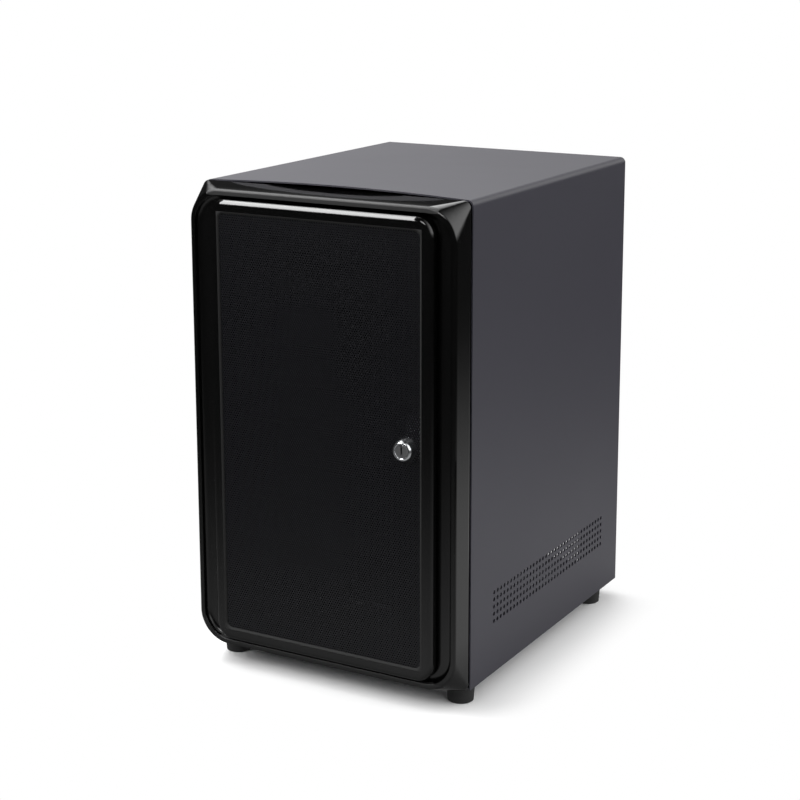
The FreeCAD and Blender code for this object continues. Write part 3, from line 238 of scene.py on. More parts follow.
# Polyester powder coat, satin: even black with a soft sheen at low angles. Its orange peel is
# about 0.4 mm across and is drawn at 0.9 mm so that it shows.
powder_coat, tree, surface = new_material("satin black powder coat")
place = add(tree, "ShaderNodeTexCoord").outputs["Object"]
drift = add(tree, "ShaderNodeTexNoise", {"Scale": 9.0, "Detail": 2.0}, {"Vector": place})
sheen = add(tree, ranges, {"To Min": 0.40, "To Max": 0.48}, {"Value": drift.outputs["Fac"]})
shader = add(tree, "ShaderNodeBsdfPrincipled", {"Base Color": colour("#313038"), "IOR": 1.5},
             {"Roughness": sheen.outputs["Result"], "Normal": grain(tree, place, 0.9, 0.35)})
tree.links.new(shader.outputs[0], surface)
coat(powder_coat, "outer_cover", "rear_panel", "base_tray", "mid_shelf")


# Front plate, drive cage and supply bracket: folded from galvanised steel and left bare
# inside the case. The cage is screwed to the shelf from below.
# Hot-dip galvanised sheet: grey zinc with faint crystals, the spangle, about 7 mm across.
galvanised, tree, surface = new_material("galvanised steel sheet")
place = add(tree, "ShaderNodeTexCoord").outputs["Object"]
spangle = add(tree, "ShaderNodeTexVoronoi", {"Scale": 1000 / 7.0, "Randomness": 1.0},
              {"Vector": place})
facet = add(tree, "ShaderNodeSeparateColor", {}, {"Color": spangle.outputs["Color"]}).outputs
zinc = add(tree, "ShaderNodeMix", {
    "data_type": "RGBA", 6: colour("#9a9da0"), 7: colour("#b9bcbf"),
}, {0: facet["Red"]})
dull = add(tree, ranges, {"To Min": 0.34, "To Max": 0.5}, {"Value": facet["Green"]})
shader = add(tree, "ShaderNodeBsdfPrincipled", {"Metallic": 1.0}, {
    "Base Color": zinc.outputs[2], "Roughness": dull.outputs["Result"],
    "Normal": grain(tree, place, 1.2, 0.15),
})
tree.links.new(shader.outputs[0], surface)
coat(galvanised, "front_panel", "drive_cage", "supply_bracket")


# Small fittings: the slot cover, the shells of the ports, the hinge pins, the cam and the
# inner screws are pressed or turned in steel and plated. The posts for the board are brass.
def worked_metal(name, code, roughness, millimetres, strength, pressed=1.0):
    """A metal with a fine grain, which rolls or tools have pressed together along Z."""
    material, tree, surface = new_material(name)
    place = add(tree, "ShaderNodeTexCoord").outputs["Object"]
    marks = add(tree, "ShaderNodeMapping", {"Scale": (1, 1, pressed)}, {"Vector": place})
    shader = add(tree, "ShaderNodeBsdfPrincipled", {
        "Base Color": colour(code), "Metallic": 1.0, "Roughness": roughness,
    }, {"Normal": grain(tree, marks.outputs["Vector"], millimetres, strength)})
    tree.links.new(shader.outputs[0], surface)
    return material


# Bright zinc plate on pressed and turned steel: pale, a little blue, with fine rolling marks.
zinc_plate = worked_metal("bright zinc plated steel", "#c3c6cb", 0.28, 6.0, 0.2, pressed=14)
coat(zinc_plate, "slot_cover", "usb_ports", "door_hinge_pins", "lock_cam", "cam_screw",
     "cage_screws", "bezel_screws", "foot_screws")

# Turned brass posts for the board, with the tool's fine rings.
brass = worked_metal("turned brass", "#c9a35a", 0.25, 5.0, 0.2, pressed=20)
coat(brass, "board_standoffs")


# Drive trays and their levers, the control panel and its buttons: moulded in ABS with a fine
# spark-eroded texture. The eight trays are alike, and each lever lies in a pocket of its tray.
def moulded(name, code, roughness, millimetres):
    """A matt moulded plastic with the texture of its tool."""
    material, tree, surface = new_material(name)
    place = add(tree, "ShaderNodeTexCoord").outputs["Object"]
    drift = add(tree, "ShaderNodeTexNoise", {"Scale": 14.0, "Detail": 2.0}, {"Vector": place})
    patchy = add(tree, ranges, {"To Min": roughness - 0.05, "To Max": roughness + 0.05},
                 {"Value": drift.outputs["Fac"]})
    shader = add(tree, "ShaderNodeBsdfPrincipled", {"Base Color": colour(code), "IOR": 1.53}, {
        "Roughness": patchy.outputs["Result"],
        "Normal": grain(tree, place, millimetres, 0.3, depth=0.03),
    })
    tree.links.new(shader.outputs[0], surface)
    return material


# Spark-eroded texture is about 0.1 mm; it is drawn at 0.7 mm to show as a soft grain.
bays = range(1, 9)
matt_abs = moulded("spark textured black ABS", "#242426", 0.55, 0.7)
grey_abs = moulded("spark textured dark grey ABS", "#2e2f32", 0.5, 0.7)
coat(matt_abs, "control_panel", "power_button", "reset_button",
     *["drive_tray_%d" % bay for bay in bays])
coat(grey_abs, *["tray_lever_%d" % bay for bay in bays])


# Backplane and button board: glass-filled epoxy with a green solder mask, its copper tracks
# just showing as paler lines. The sockets and switches on them are moulded nylon.
solder_mask, tree, surface = new_material("green solder mask")
place = add(tree, "ShaderNodeTexCoord").outputs["Object"]
upright = add(tree, "ShaderNodeMapping", {"Rotation": (math.radians(90), 0, 0)},
              {"Vector": place})
tracks = add(tree, "ShaderNodeTexBrick", {
    "Color1": colour("#0d4a2a"), "Color2": colour("#0f5230"), "Mortar": colour("#1c6d43"),
    "Scale": 1.0, "Mortar Size": 0.0003, "Brick Width": 0.009, "Row Height": 0.0021,
}, {"Vector": upright.outputs["Vector"]})
shader = add(tree, "ShaderNodeBsdfPrincipled", {"Roughness": 0.32, "IOR": 1.55},
             {"Base Color": tracks.outputs["Color"], "Normal": grain(tree, place, 1.5, 0.2)})
tree.links.new(shader.outputs[0], surface)
nylon = moulded("moulded black nylon", "#1c1c1e", 0.48, 0.8)
coat(solder_mask, "drive_backplane", "button_board")
coat(nylon, "backplane_connectors", "button_switches")


# Fan: frame and seven-bladed rotor moulded in PBT with a fine, slightly shiny skin. The frame
# is screwed to the rear panel from outside.
pbt = moulded("moulded black PBT", "#1a1a1c", 0.38, 1.0)
coat(pbt, "fan_frame", "fan_rotor")


# Front bezel and door frame: large ABS mouldings from polished tools, black all through. The
# bezel is screwed to the front plate, and its dished front takes the door.
# Gloss ABS shows sharp reflections, bent a little by long waves of shrinkage under the skin.
# The floor of the dish is less polished, and the bevel round the mesh and the level edges of
# the lip are spark textured, so they stay dull. A box from its low to its high corner picks
# out each of them: the dish, the bevel, and the top and bottom edges of the lip.
polished, dish_more, bevel_more, lip_more = 0.06, 0.10, 0.65, 0.5
gloss_abs, tree, surface = new_material("polished black ABS")
place = add(tree, "ShaderNodeTexCoord").outputs["Object"]
within = []
for low, high in (
    ((-0.0957, -0.1274, 0.0193), (0.0957, -0.1200, 0.3261)),
    ((-0.0764, -0.1330, 0.0283), (0.0764, -0.1200, 0.3163)),
    ((-0.0860, -0.1290, 0.3262), (0.0860, -0.1260, 0.3320)),
    ((-0.0900, -0.1290, 0.0150), (0.0900, -0.1260, 0.0206)),
):
    middle = [(a + b) / 2 for a, b in zip(low, high)]
    reach = [(b - a) / 2 for a, b in zip(low, high)]
    away = add(tree, vectors, {"operation": "SUBTRACT", 1: middle}, {0: place}).outputs[0]
    part_way = add(tree, vectors, {"operation": "DIVIDE", 1: reach}, {0: away}).outputs[0]
    either_side = add(tree, vectors, {"operation": "ABSOLUTE"}, {0: part_way}).outputs[0]
    axes = add(tree, "ShaderNodeSeparateXYZ", {}, {0: either_side}).outputs
    wider = add(tree, maths, {"operation": "MAXIMUM"}, {0: axes["X"], 1: axes["Z"]}).outputs[0]
    widest = add(tree, maths, {"operation": "MAXIMUM"}, {0: wider, 1: axes["Y"]}).outputs[0]
    within.append(add(tree, maths, {"operation": "LESS_THAN", 1: 1.0}, {0: widest}).outputs[0])
in_dish, on_bevel, on_top_edge, on_bottom_edge = within
sunk = add(tree, maths, {"operation": "MAXIMUM"}, {0: in_dish, 1: on_bevel}).outputs[0]
on_lip = add(tree, maths, {"operation": "MAXIMUM"},
             {0: on_top_edge, 1: on_bottom_edge}).outputs[0]
sheen = polished
for where, more in ((sunk, dish_more), (on_bevel, bevel_more), (on_lip, lip_more)):
    sheen = add(tree, maths, {"operation": "MULTIPLY_ADD", 1: more},
                {0: where, 2: sheen}).outputs[0]
# Edges are rounded by 1.2 mm, and by 0.4 mm above the door. The top of the bezel is crowned
# from the seam to the lip: level behind, tipping forward in front.
edge_radius, top_edge_radius = 0.0012, 0.0004
below_top_edge, at_top_edge = 0.3255, 0.3270
lip_y, seam_y = -0.1275, -0.1085
lip_lean, seam_lean = 0.115, 0.19
depth, height = add(tree, "ShaderNodeSeparateXYZ", {}, {0: place}).outputs[1:]
edge = add(tree, ranges, {
    "From Min": below_top_edge, "From Max": at_top_edge,
    "To Min": edge_radius, "To Max": top_edge_radius,
}, {"Value": height}).outputs["Result"]
rounded = add(tree, "ShaderNodeBevel", {"samples": 6}, {"Radius": edge}).outputs["Normal"]
facing_up = add(tree, "ShaderNodeSeparateXYZ", {}, {0: rounded}).outputs["Z"]
crown = add(tree, ranges, {
    "From Min": lip_y, "From Max": seam_y, "To Min": lip_lean, "To Max": seam_lean,
}, {"Value": depth}).outputs["Result"]
only_up = add(tree, ranges, {"From Min": 0.80, "From Max": 0.97},
              {"Value": facing_up}).outputs["Result"]
tip = add(tree, maths, {"operation": "MULTIPLY"}, {0: crown, 1: only_up}).outputs[0]
lean = add(tree, "ShaderNodeCombineXYZ", {}, {"Y": tip}).outputs[0]
crowned = add(tree, vectors, {"operation": "ADD"}, {0: rounded, 1: lean}).outputs[0]
unit = add(tree, vectors, {"operation": "NORMALIZE"}, {0: crowned}).outputs[0]
waves = add(tree, "ShaderNodeTexNoise", {"Scale": 1000 / 38.0, "Detail": 1.0},
            {"Vector": place}).outputs["Fac"]
skin = add(tree, "ShaderNodeBump", {"Strength": 0.06, "Distance": 0.001},
           {"Height": waves, "Normal": unit}).outputs["Normal"]
shader = add(tree, "ShaderNodeBsdfPrincipled", {"Base Color": colour("#030303"), "IOR": 1.58},
             {"Roughness": sheen, "Normal": skin})
tree.links.new(shader.outputs[0], surface)
coat(gloss_abs, "front_bezel", "door_frame")


# Light pipes: two rods moulded smooth in clear acrylic. They stand on the button board and
# carry its light through the control panel.
acrylic, tree, surface = new_material("clear moulded acrylic")
place = add(tree, "ShaderNodeTexCoord").outputs["Object"]
shader = add(tree, "ShaderNodeBsdfPrincipled", {
    "Base Color": colour("#e9eef0"), "Roughness": 0.05, "IOR": 1.49, "Transmission Weight": 0.9,
}, {"Normal": grain(tree, place, 4.0, 0.1, depth=0.05)})
tree.links.new(shader.outputs[0], surface)
coat(acrylic, "led_lenses")


# Door mesh: 0.8 mm steel, punched with fine staggered round holes and coated black. It has a
# plain rim under the frame and a plain land round the lock.
panel_low, panel_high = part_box("door_mesh")
lock_low, lock_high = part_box("lock_body")
panel_middle = (panel_low + panel_high) / 2
panel_half_x = (panel_high.x - panel_low.x) / 2
panel_half_z = (panel_high.z - panel_low.z) / 2
lock_middle = (lock_low + lock_high) / 2
lock_middle.y = panel_middle.y
sheet = panel_high.y - panel_low.y
hole_pitch = 0.0018
hole_radius = 0.00056
hole_sides = 8
row_step = hole_pitch * math.sqrt(3) / 2
plain_rim = 0.0020
panel_corner = 0.0064
barrel_radius = 0.0062
land_radius = 0.0084
weld_distance = 0.000005
columns = int((panel_high.x - panel_low.x - 2 * plain_rim) / hole_pitch - 0.5)
rows = int((panel_high.z - panel_low.z - 2 * plain_rim) / row_step)
field_half = (columns * hole_pitch + hole_pitch / 2) / 2
field_tall = rows * row_step / 2

# Satin black spray on punched steel, with the same soft sheen as the cover but flatter.
mesh_coat, tree, surface = new_material("black sprayed perforated steel")
place = add(tree, "ShaderNodeTexCoord").outputs["Object"]
shader = add(tree, "ShaderNodeBsdfPrincipled", {
    "Base Color": colour("#0d0d10"), "Roughness": 0.3, "IOR": 1.45,
}, {"Normal": grain(tree, place, 0.8, 0.25)})
tree.links.new(shader.outputs[0], surface)


def punched_cell():
    """One hole in its rectangle of sheet: the front, the wall of the hole and the back."""
    shape = bmesh.new()
    angles = [2 * math.pi * (k + 0.5) / hole_sides for k in range(hole_sides)]
    signs = ((1, 1), (-1, 1), (-1, -1), (1, -1))
    loops = []
    for y in (-sheet / 2, sheet / 2):
        corners = [shape.verts.new((sx * hole_pitch / 2, y, sz * row_step / 2))
                   for sx, sz in signs]
        rim = [shape.verts.new((hole_radius * math.cos(a), y, hole_radius * math.sin(a)))
               for a in angles]
        loops.append((corners, rim))
    per_corner = hole_sides // 4
    for (corners, rim), turned in zip(loops, (False, True)):
        for quarter in range(4):
            corner = corners[quarter]
            following = corners[(quarter + 1) % 4]
            first = quarter * per_corner
            faces = [(corner, rim[first + k], rim[(first + k + 1) % hole_sides])
                     for k in range(per_corner - 1)]
            last = rim[(first + per_corner - 1) % hole_sides]
            faces.append((corner, last, rim[(first + per_corner) % hole_sides], following))
            for face in faces:
                shape.faces.new(face if turned else tuple(reversed(face)))
    front_rim, back_rim = loops[0][1], loops[1][1]
    for k in range(hole_sides):
        following = (k + 1) % hole_sides
        shape.faces.new((front_rim[k], back_rim[k], back_rim[following], front_rim[following]))
    cell = bpy.data.meshes.new("punched cell")
    shape.to_mesh(cell)
    shape.free()
    return cell


def keep_mesh(piece, name, material):
    """Turns a piece with its modifiers into a plain mesh object with one finish."""
    bpy.context.view_layer.update()
    evaluated = piece.evaluated_get(bpy.context.evaluated_depsgraph_get())
    kept = bpy.data.meshes.new_from_object(evaluated)
    bpy.data.objects.remove(piece)
    kept.name = name
    kept.materials.clear()
    kept.materials.append(material)
    plain = bpy.data.objects.new(name, kept)
    bpy.context.collection.objects.link(plain)
    return plain


def new_group(name, inputs, result):
    """An empty Geometry Nodes tree with its named inputs: the tree, what it is given, its end."""
    tree = bpy.data.node_groups.new(name, "GeometryNodeTree")
    for title, kind in inputs:
        tree.interface.new_socket(title, in_out="INPUT", socket_type="NodeSocket" + kind)
    tree.interface.new_socket(result, in_out="OUTPUT", socket_type="NodeSocketGeometry")
    return tree, add(tree, "NodeGroupInput").outputs, add(tree, "NodeGroupOutput").inputs[0]


def sheet_tree():
    """Geometry Nodes that set holes out in staggered rows, from a lowest to a highest row."""
    tree, given, result = new_group("perforated sheet", (
        ("Cell", "Geometry"), ("Columns", "Int"), ("Rows", "Int"), ("Pitch", "Float"),
        ("Row Step", "Float"), ("Sheet", "Float"), ("Middle", "Vector"), ("Lowest", "Float"),
        ("Highest", "Float"), ("Lock Middle", "Vector"), ("Barrel Radius", "Float"),
        ("Land Radius", "Float"), ("Weld", "Float"), ("Finish", "Material"),
    ), "Sheet")
    pitch, step = given["Pitch"], given["Row Step"]
    columns_less = add(tree, maths, {"operation": "SUBTRACT"},
                       {0: given["Columns"], 1: 1.0}).outputs[0]
    rows_less = add(tree, maths, {"operation": "SUBTRACT"}, {0: given["Rows"], 1: 1.0}).outputs[0]
    width = add(tree, maths, {"operation": "MULTIPLY"}, {0: columns_less, 1: pitch}).outputs[0]
    height = add(tree, maths, {"operation": "MULTIPLY"}, {0: rows_less, 1: step}).outputs[0]
    half_height = add(tree, maths, {"operation": "MULTIPLY"}, {0: height, 1: 0.5}).outputs[0]
    middle = add(tree, "ShaderNodeSeparateXYZ", {}, {0: given["Middle"]}).outputs
    bottom = add(tree, maths, {"operation": "SUBTRACT"},
                 {0: middle["Z"], 1: half_height}).outputs[0]

    # Rows are told apart by their height: every second one is set over by half a pitch.
    position = add(tree, "GeometryNodeInputPosition").outputs[0]
    level = add(tree, "ShaderNodeSeparateXYZ", {}, {0: position}).outputs["Z"]
    lift = add(tree, maths, {"operation": "SUBTRACT"}, {0: level, 1: bottom}).outputs[0]
    steps = add(tree, maths, {"operation": "DIVIDE"}, {0: lift, 1: step}).outputs[0]
    row = add(tree, maths, {"operation": "ROUND"}, {0: steps}).outputs[0]
    odd = add(tree, maths, {"operation": "FLOORED_MODULO"}, {0: row, 1: 2.0}).outputs[0]
    side = add(tree, maths, {"operation": "SUBTRACT"}, {0: odd, 1: 0.5}).outputs[0]
    half_pitch = add(tree, maths, {"operation": "MULTIPLY"}, {0: pitch, 1: 0.5}).outputs[0]
    over = add(tree, maths, {"operation": "MULTIPLY"}, {0: side, 1: half_pitch}).outputs[0]
    below = add(tree, "FunctionNodeCompare", {"operation": "LESS_THAN"},
                {0: row, 1: given["Lowest"]}).outputs[0]
    above = add(tree, "FunctionNodeCompare", {"operation": "GREATER_THAN"},
                {0: row, 1: given["Highest"]}).outputs[0]
    elsewhere = add(tree, "FunctionNodeBooleanMath", {"operation": "OR"},
                    {0: below, 1: above}).outputs[0]
    from_lock = add(tree, vectors, {"operation": "DISTANCE"},
                    {0: position, 1: given["Lock Middle"]}).outputs["Value"]
    in_barrel = add(tree, "FunctionNodeCompare", {"operation": "LESS_THAN"},
                    {0: from_lock, 1: given["Barrel Radius"]}).outputs[0]
    on_land = add(tree, "FunctionNodeCompare", {"operation": "LESS_THAN"},
                  {0: from_lock, 1: given["Land Radius"]}).outputs[0]
    off_land = add(tree, "FunctionNodeBooleanMath", {"operation": "NOT"},
                   {0: on_land}).outputs[0]
    left_out = add(tree, "FunctionNodeBooleanMath", {"operation": "OR"},
                   {0: elsewhere, 1: in_barrel}).outputs[0]

    grid = add(tree, "GeometryNodeMeshGrid", {}, {
        "Size X": width, "Size Y": height,
        "Vertices X": given["Columns"], "Vertices Y": given["Rows"],
    }).outputs["Mesh"]
    upright = add(tree, "GeometryNodeTransform", {"Rotation": (math.radians(90), 0, 0)},
                  {"Geometry": grid, "Translation": given["Middle"]}).outputs[0]
    points = add(tree, "GeometryNodeMeshToPoints", {}, {"Mesh": upright}).outputs[0]
    kept = add(tree, "GeometryNodeDeleteGeometry", {"domain": "POINT"},
               {"Geometry": points, "Selection": left_out}).outputs[0]
    set_over = add(tree, "ShaderNodeCombineXYZ", {}, {"X": over}).outputs[0]
    staggered = add(tree, "GeometryNodeSetPosition", {},
                    {"Geometry": kept, "Offset": set_over}).outputs[0]
    plain_cell = add(tree, "GeometryNodeJoinGeometry")
    for face in (-1.0, 1.0):
        blank = add(tree, "GeometryNodeMeshGrid", {"Vertices X": 2, "Vertices Y": 2},
                    {"Size X": pitch, "Size Y": step}).outputs["Mesh"]
        depth = add(tree, maths, {"operation": "MULTIPLY"},
                    {0: given["Sheet"], 1: 0.5 * face}).outputs[0]
        offset = add(tree, "ShaderNodeCombineXYZ", {}, {"Y": depth}).outputs[0]
        outwards = (math.radians(-90 * face), 0, 0)
        plain = add(tree, "GeometryNodeTransform", {"Rotation": outwards},
                    {"Geometry": blank, "Translation": offset}).outputs[0]
        tree.links.new(plain, plain_cell.inputs[0])
    holes = add(tree, "GeometryNodeInstanceOnPoints", {}, {
        "Points": staggered, "Selection": off_land, "Instance": given["Cell"],
    }).outputs[0]
    land = add(tree, "GeometryNodeInstanceOnPoints", {}, {
        "Points": staggered, "Selection": on_land, "Instance": plain_cell.outputs[0],
    }).outputs[0]

    # The half cell that each row leaves open at one end is closed with plain sheet.
    start = add(tree, "ShaderNodeCombineXYZ", {},
                {"X": middle["X"], "Y": middle["Y"], "Z": bottom}).outputs[0]
    upwards = add(tree, "ShaderNodeCombineXYZ", {}, {"Z": step}).outputs[0]
    line = add(tree, "GeometryNodeMeshLine", {}, {
        "Count": given["Rows"], "Start Location": start, "Offset": upwards,
    }).outputs[0]
    kept_line = add(tree, "GeometryNodeDeleteGeometry", {"domain": "POINT"},
                    {"Geometry": line, "Selection": elsewhere}).outputs[0]
    full = add(tree, maths, {"operation": "MULTIPLY"},
               {0: given["Columns"], 1: pitch}).outputs[0]
    across = add(tree, maths, {"operation": "MULTIPLY"}, {0: side, 1: full}).outputs[0]
    opposite = add(tree, maths, {"operation": "MULTIPLY"}, {0: across, 1: -1.0}).outputs[0]
    to_end = add(tree, "ShaderNodeCombineXYZ", {}, {"X": opposite}).outputs[0]
    at_ends = add(tree, "GeometryNodeSetPosition", {},
                  {"Geometry": kept_line, "Offset": to_end}).outputs[0]
    ends = add(tree, "GeometryNodeInstanceOnPoints", {"Scale": (0.5, 1, 1)},
               {"Points": at_ends, "Instance": plain_cell.outputs[0]}).outputs[0]
    joined = add(tree, "GeometryNodeJoinGeometry")
    for part in (holes, land, ends):
        tree.links.new(part, joined.inputs[0])
    real = add(tree, "GeometryNodeRealizeInstances", {},
               {"Geometry": joined.outputs[0]}).outputs[0]
    merged = add(tree, "GeometryNodeMergeByDistance", {},
                 {"Geometry": real, "Distance": given["Weld"]}).outputs[0]
    painted = add(tree, "GeometryNodeSetMaterial", {},
                  {"Geometry": merged, "Material": given["Finish"]}).outputs[0]
    tree.links.new(painted, result)
    return tree


def run_tree(piece, tree, values):
    """Puts a tree on a piece and sets its named inputs by their socket identifiers."""
    modifier = piece.modifiers.new(tree.name, "NODES")
    modifier.node_group = tree
    for item in tree.interface.items_tree:
        if item.in_out == "INPUT" and item.name in values:
            modifier[item.identifier] = values[item.name]


# The sheet is kept as four bands of rows, so that no piece is too heavy.
punched = sheet_tree()
bands = 4
for band in range(bands):
    name = "perforated_sheet_%d" % (band + 1)
    piece = bpy.data.objects.new(name, punched_cell())
    bpy.context.collection.objects.link(piece)
    run_tree(piece, punched, {
        "Columns": columns, "Rows": rows, "Pitch": hole_pitch, "Row Step": row_step,
        "Sheet": sheet, "Middle": tuple(panel_middle), "Lowest": rows * band // bands - 0.5,
        "Highest": rows * (band + 1) // bands - 0.5, "Lock Middle": tuple(lock_middle),
        "Barrel Radius": barrel_radius, "Land Radius": land_radius, "Weld": weld_distance,
        "Finish": mesh_coat,
    })
    piece = keep_mesh(piece, name, mesh_coat)
    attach(piece, "door")
    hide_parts("door_mesh")

# The plain rim joins the field of holes to the rounded outline of the sheet.
shape = bmesh.new()
inner, outer = [], []
arc_steps = 6
for y in (panel_low.y, panel_high.y):
    for quarter, (sx, sz) in enumerate(((1, 1), (-1, 1), (-1, -1), (1, -1))):
        inner.append(shape.verts.new((
            panel_middle.x + sx * field_half, y, panel_middle.z + sz * field_tall
        )))
        centre_x = panel_middle.x + sx * (panel_half_x - panel_corner)
        centre_z = panel_middle.z + sz * (panel_half_z - panel_corner)
        for k in range(arc_steps + 1):
            angle = math.radians(90) * (quarter + k / arc_steps)
            outer.append(shape.verts.new((
                centre_x + panel_corner * math.cos(angle), y,
                centre_z + panel_corner * math.sin(angle),
            )))
around = len(outer) // 2
for back in (0, 1):
    corners = inner[4 * back:4 * (back + 1)]
    edge = outer[around * back:around * (back + 1)]
    for quarter in range(4):
        first = quarter * (arc_steps + 1)
        faces = [(corners[quarter], edge[first + k], edge[first + k + 1])
                 for k in range(arc_steps)]
        faces.append((corners[quarter], edge[first + arc_steps],
                      edge[(first + arc_steps + 1) % around], corners[(quarter + 1) % 4]))
        for face in faces:
            shape.faces.new(face if back else tuple(reversed(face)))
for k in range(around):
    following = (k + 1) % around
    shape.faces.new((outer[k], outer[around + k], outer[around + following], outer[following]))
bmesh.ops.recalc_face_normals(shape, faces=shape.faces)
rim_mesh = bpy.data.meshes.new("perforated_sheet_rim")
shape.to_mesh(rim_mesh)
shape.free()
rim_mesh.materials.append(mesh_coat)
piece = bpy.data.objects.new("perforated_sheet_rim", rim_mesh)
bpy.context.collection.objects.link(piece)
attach(piece, "door")
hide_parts("door_mesh")


# Feet: four tapered feet moulded in black rubber, each held by a screw up through its middle.
# Vulcanised rubber is matt and a little grey with a dusty bloom.
rubber = moulded("vulcanised black rubber", "#1d1d1d", 0.72, 1.0)
coat(rubber, "rubber_foot_1", "rubber_foot_2", "rubber_foot_3", "rubber_foot_4")


# Lock: a die-cast zinc body, polished and chromed, with a nickel plated plug. Its nut holds it
# in the door mesh, and its cam turns behind the floor of the bezel.
# Bright chrome mirrors the studio almost unblurred; polishing leaves a faint ripple.
chrome = worked_metal("polished chrome on zinc", "#d9dbde", 0.2, 6.0, 0.03)
# Nickel plate is greyer and a little duller, worn by the key.
nickel = worked_metal("nickel plated brass", "#b4b4b6", 0.34, 1.5, 0.15)
coat(nickel, "lock_plug", "lock_nut")

# The body is turned: a threaded barrel through the mesh and a ring with a full round edge,
# whose profile is given in millimetres as the radius and the depth behind its front.
barrel, bore, ring = 0.0060, 0.00455, 0.0070
ring_front, barrel_end = lock_low.y, lock_high.y
profile = [(bore, barrel_end), (barrel, barrel_end), (barrel, panel_low.y), (ring, panel_low.y)]
profile += [(radius / 1000, ring_front + behind / 1000) for radius, behind in (
    (7.0, 2.9), (6.94, 2.2), (6.78, 1.55), (6.5, 0.95), (6.12, 0.45), (5.7, 0.14), (5.3, 0.0),
    (4.9, 0.04), (4.66, 0.14), (4.55, 0.35),
)]
sharp_edge = math.radians(40)
around = 56
angles = [2 * math.pi * k / around for k in range(around)]
shape = bmesh.new()
rings = []
for radius, y in profile:
    rings.append([shape.verts.new((
        lock_middle.x + radius * math.cos(a), y, lock_middle.z + radius * math.sin(a)
    )) for a in angles])
for first, second in zip(rings, rings[1:] + rings[:1]):
    for k in range(around):
        following = (k + 1) % around
        shape.faces.new((first[k], first[following], second[following], second[k]))
bmesh.ops.recalc_face_normals(shape, faces=shape.faces)
for face in shape.faces:
    face.smooth = True
for edge in shape.edges:
    edge.smooth = edge.calc_face_angle(0) < sharp_edge
ring_mesh = bpy.data.meshes.new("lock_body_turned")
shape.to_mesh(ring_mesh)
shape.free()
ring_mesh.materials.append(chrome)
piece = bpy.data.objects.new("lock_body_turned", ring_mesh)
bpy.context.collection.objects.link(piece)
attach(piece, "door")
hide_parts("lock_body")


# Screws: steel pan heads with a cross recess, black zinc plated, in the rear panel, the fan
# and the slot cover, and bright ones in the feet and on the cam of the lock.
head_diameter, head_height = 0.0064, 0.0022


def screw_shape():
    """A pan head screw that points along -Y, with its cross recess."""
    shape = bmesh.new()
    sides = 20
    head, shank = head_diameter / 2, 0.0015
    rings = []
    for radius, y in ((0.0021, head_height), (0.0028, 0.0019), (head, 0.0012), (head, 0.0),
                      (shank, 0.0), (shank, -0.002)):
        rings.append([shape.verts.new((radius * math.cos(a), y, radius * math.sin(a)))
                      for a in [2 * math.pi * k / sides for k in range(sides)]])
    for first, second in zip(rings, rings[1:]):
        for k in range(sides):
            following = (k + 1) % sides
            shape.faces.new((first[k], first[following], second[following], second[k]))
    shape.faces.new(rings[-1])
    arm, half_arm = 0.00165, 0.00032
    recess_depth, recess_taper = 0.0011, 0.7
    corners = []
    for quarter in range(4):
        cos = round(math.cos(quarter * math.pi / 2))
        sin = round(math.sin(quarter * math.pi / 2))
        for x, z in ((half_arm, -half_arm), (arm, -half_arm), (arm, half_arm)):
            corners.append((x * cos - z * sin, x * sin + z * cos))
    count = len(corners)
    mouth = [shape.verts.new((x, head_height, z)) for x, z in corners]
    base = [shape.verts.new((x * recess_taper, head_height - recess_depth, z * recess_taper))
            for x, z in corners]
    edges = [shape.edges.new((mouth[k], mouth[(k + 1) % count])) for k in range(count)]
    edges += [shape.edges.get((rings[0][k], rings[0][(k + 1) % sides])) for k in range(sides)]
    bmesh.ops.triangle_fill(shape, use_beauty=True, use_dissolve=False, edges=edges)
    for k in range(count):
        following = (k + 1) % count
        shape.faces.new((mouth[k], mouth[following], base[following], base[k]))
    shape.faces.new(base)
    bmesh.ops.recalc_face_normals(shape, faces=shape.faces)
    screw = bpy.data.meshes.new("cross head screw")
    shape.to_mesh(screw)
    shape.free()
    return screw


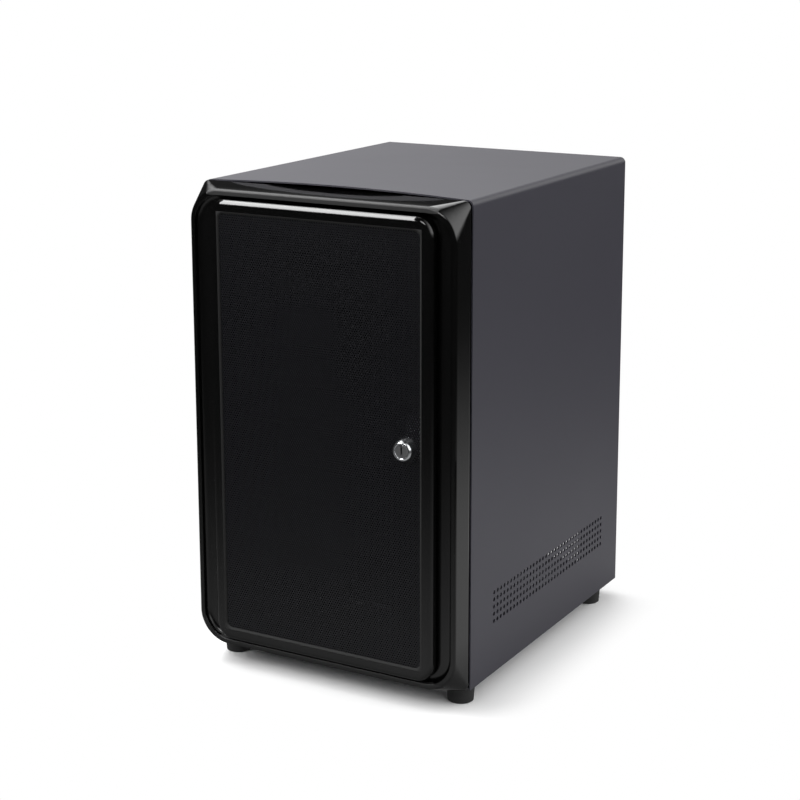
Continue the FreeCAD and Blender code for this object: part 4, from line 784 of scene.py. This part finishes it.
def screw_tree():
    """Geometry Nodes that set a screw on each point, each turned to where it came tight."""
    tree, given, result = new_group("set of screws", (
        ("Places", "Geometry"), ("Screw", "Object"), ("Scale", "Float"),
        ("Facing", "Rotation"), ("Seed", "Int"), ("Finish", "Material"),
    ), "Screws")
    screw = add(tree, "GeometryNodeObjectInfo", {},
                {"Object": given["Screw"]}).outputs["Geometry"]
    size = add(tree, "ShaderNodeCombineXYZ", {},
               {axis: given["Scale"] for axis in "XYZ"}).outputs[0]
    placed = add(tree, "GeometryNodeInstanceOnPoints", {}, {
        "Points": given["Places"], "Instance": screw,
        "Rotation": given["Facing"], "Scale": size,
    }).outputs[0]
    # A cross looks the same after half a turn. Input 3 and output 1 are those for numbers.
    turn = add(tree, "FunctionNodeRandomValue", {"data_type": "FLOAT", 3: math.pi},
               {"Seed": given["Seed"]}).outputs[1]
    about = add(tree, "ShaderNodeCombineXYZ", {}, {"Y": turn}).outputs[0]
    turned = add(tree, "GeometryNodeRotateInstances", {},
                 {"Instances": placed, "Rotation": about}).outputs[0]
    real = add(tree, "GeometryNodeRealizeInstances", {}, {"Geometry": turned}).outputs[0]
    painted = add(tree, "GeometryNodeSetMaterial", {},
                  {"Geometry": real, "Material": given["Finish"]}).outputs[0]
    tree.links.new(painted, result)
    return tree


# Black zinc plate is a thin dull film with a faint grain of the steel below.
black_zinc = moulded("black zinc plated steel", "#26262a", 0.35, 2.0)
screws = screw_tree()
pattern = bpy.data.objects.new("screw pattern", screw_shape())
bpy.context.collection.objects.link(pattern)
backwards, downwards = (0, 0, 0), (math.radians(-90), 0, 0)
for node, name, body, slot, finish, head, facing, seed in (
    ("cover_screws", "cover_cross_screws", "chassis", "black_zinc_screw", black_zinc,
     0.0064, backwards, 1),
    ("fan_screws", "fan_cross_screws", "chassis", "black_zinc_screw", black_zinc,
     0.0064, backwards, 2),
    ("slot_screw", "slot_cross_screw", "chassis", "black_zinc_screw", black_zinc,
     0.0064, backwards, 3),
    ("cam_screw", "cam_cross_screw", "lock", "zinc_plated_steel", zinc_plate,
     0.0056, backwards, 4),
    ("foot_screws", "foot_cross_screws", "chassis", "zinc_plated_steel", zinc_plate,
     0.0076, downwards, 5),
):
    low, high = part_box(node)
    scale = head / head_diameter
    inset = head / 2
    under_head = head_height * scale
    low_row, high_row = (low.y, high.y) if facing == downwards else (low.z, high.z)
    places = sorted({
        (round(x, 5), round(row, 5))
        for x in (low.x + inset, high.x - inset) for row in (low_row + inset, high_row - inset)
    })
    if facing == downwards:
        points = [(x, row, low.z + under_head) for x, row in places]
    else:
        points = [(x, high.y - under_head, row) for x, row in places]
    mesh = bpy.data.meshes.new(name)
    mesh.from_pydata(points, [], [])
    piece = bpy.data.objects.new(name, mesh)
    bpy.context.collection.objects.link(piece)
    run_tree(piece, screws, {
        "Screw": pattern, "Scale": scale, "Facing": facing, "Seed": seed, "Finish": finish,
    })
    piece = keep_mesh(piece, name, finish)
    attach(piece, body)
    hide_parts(node)
bpy.data.objects.remove(pattern)
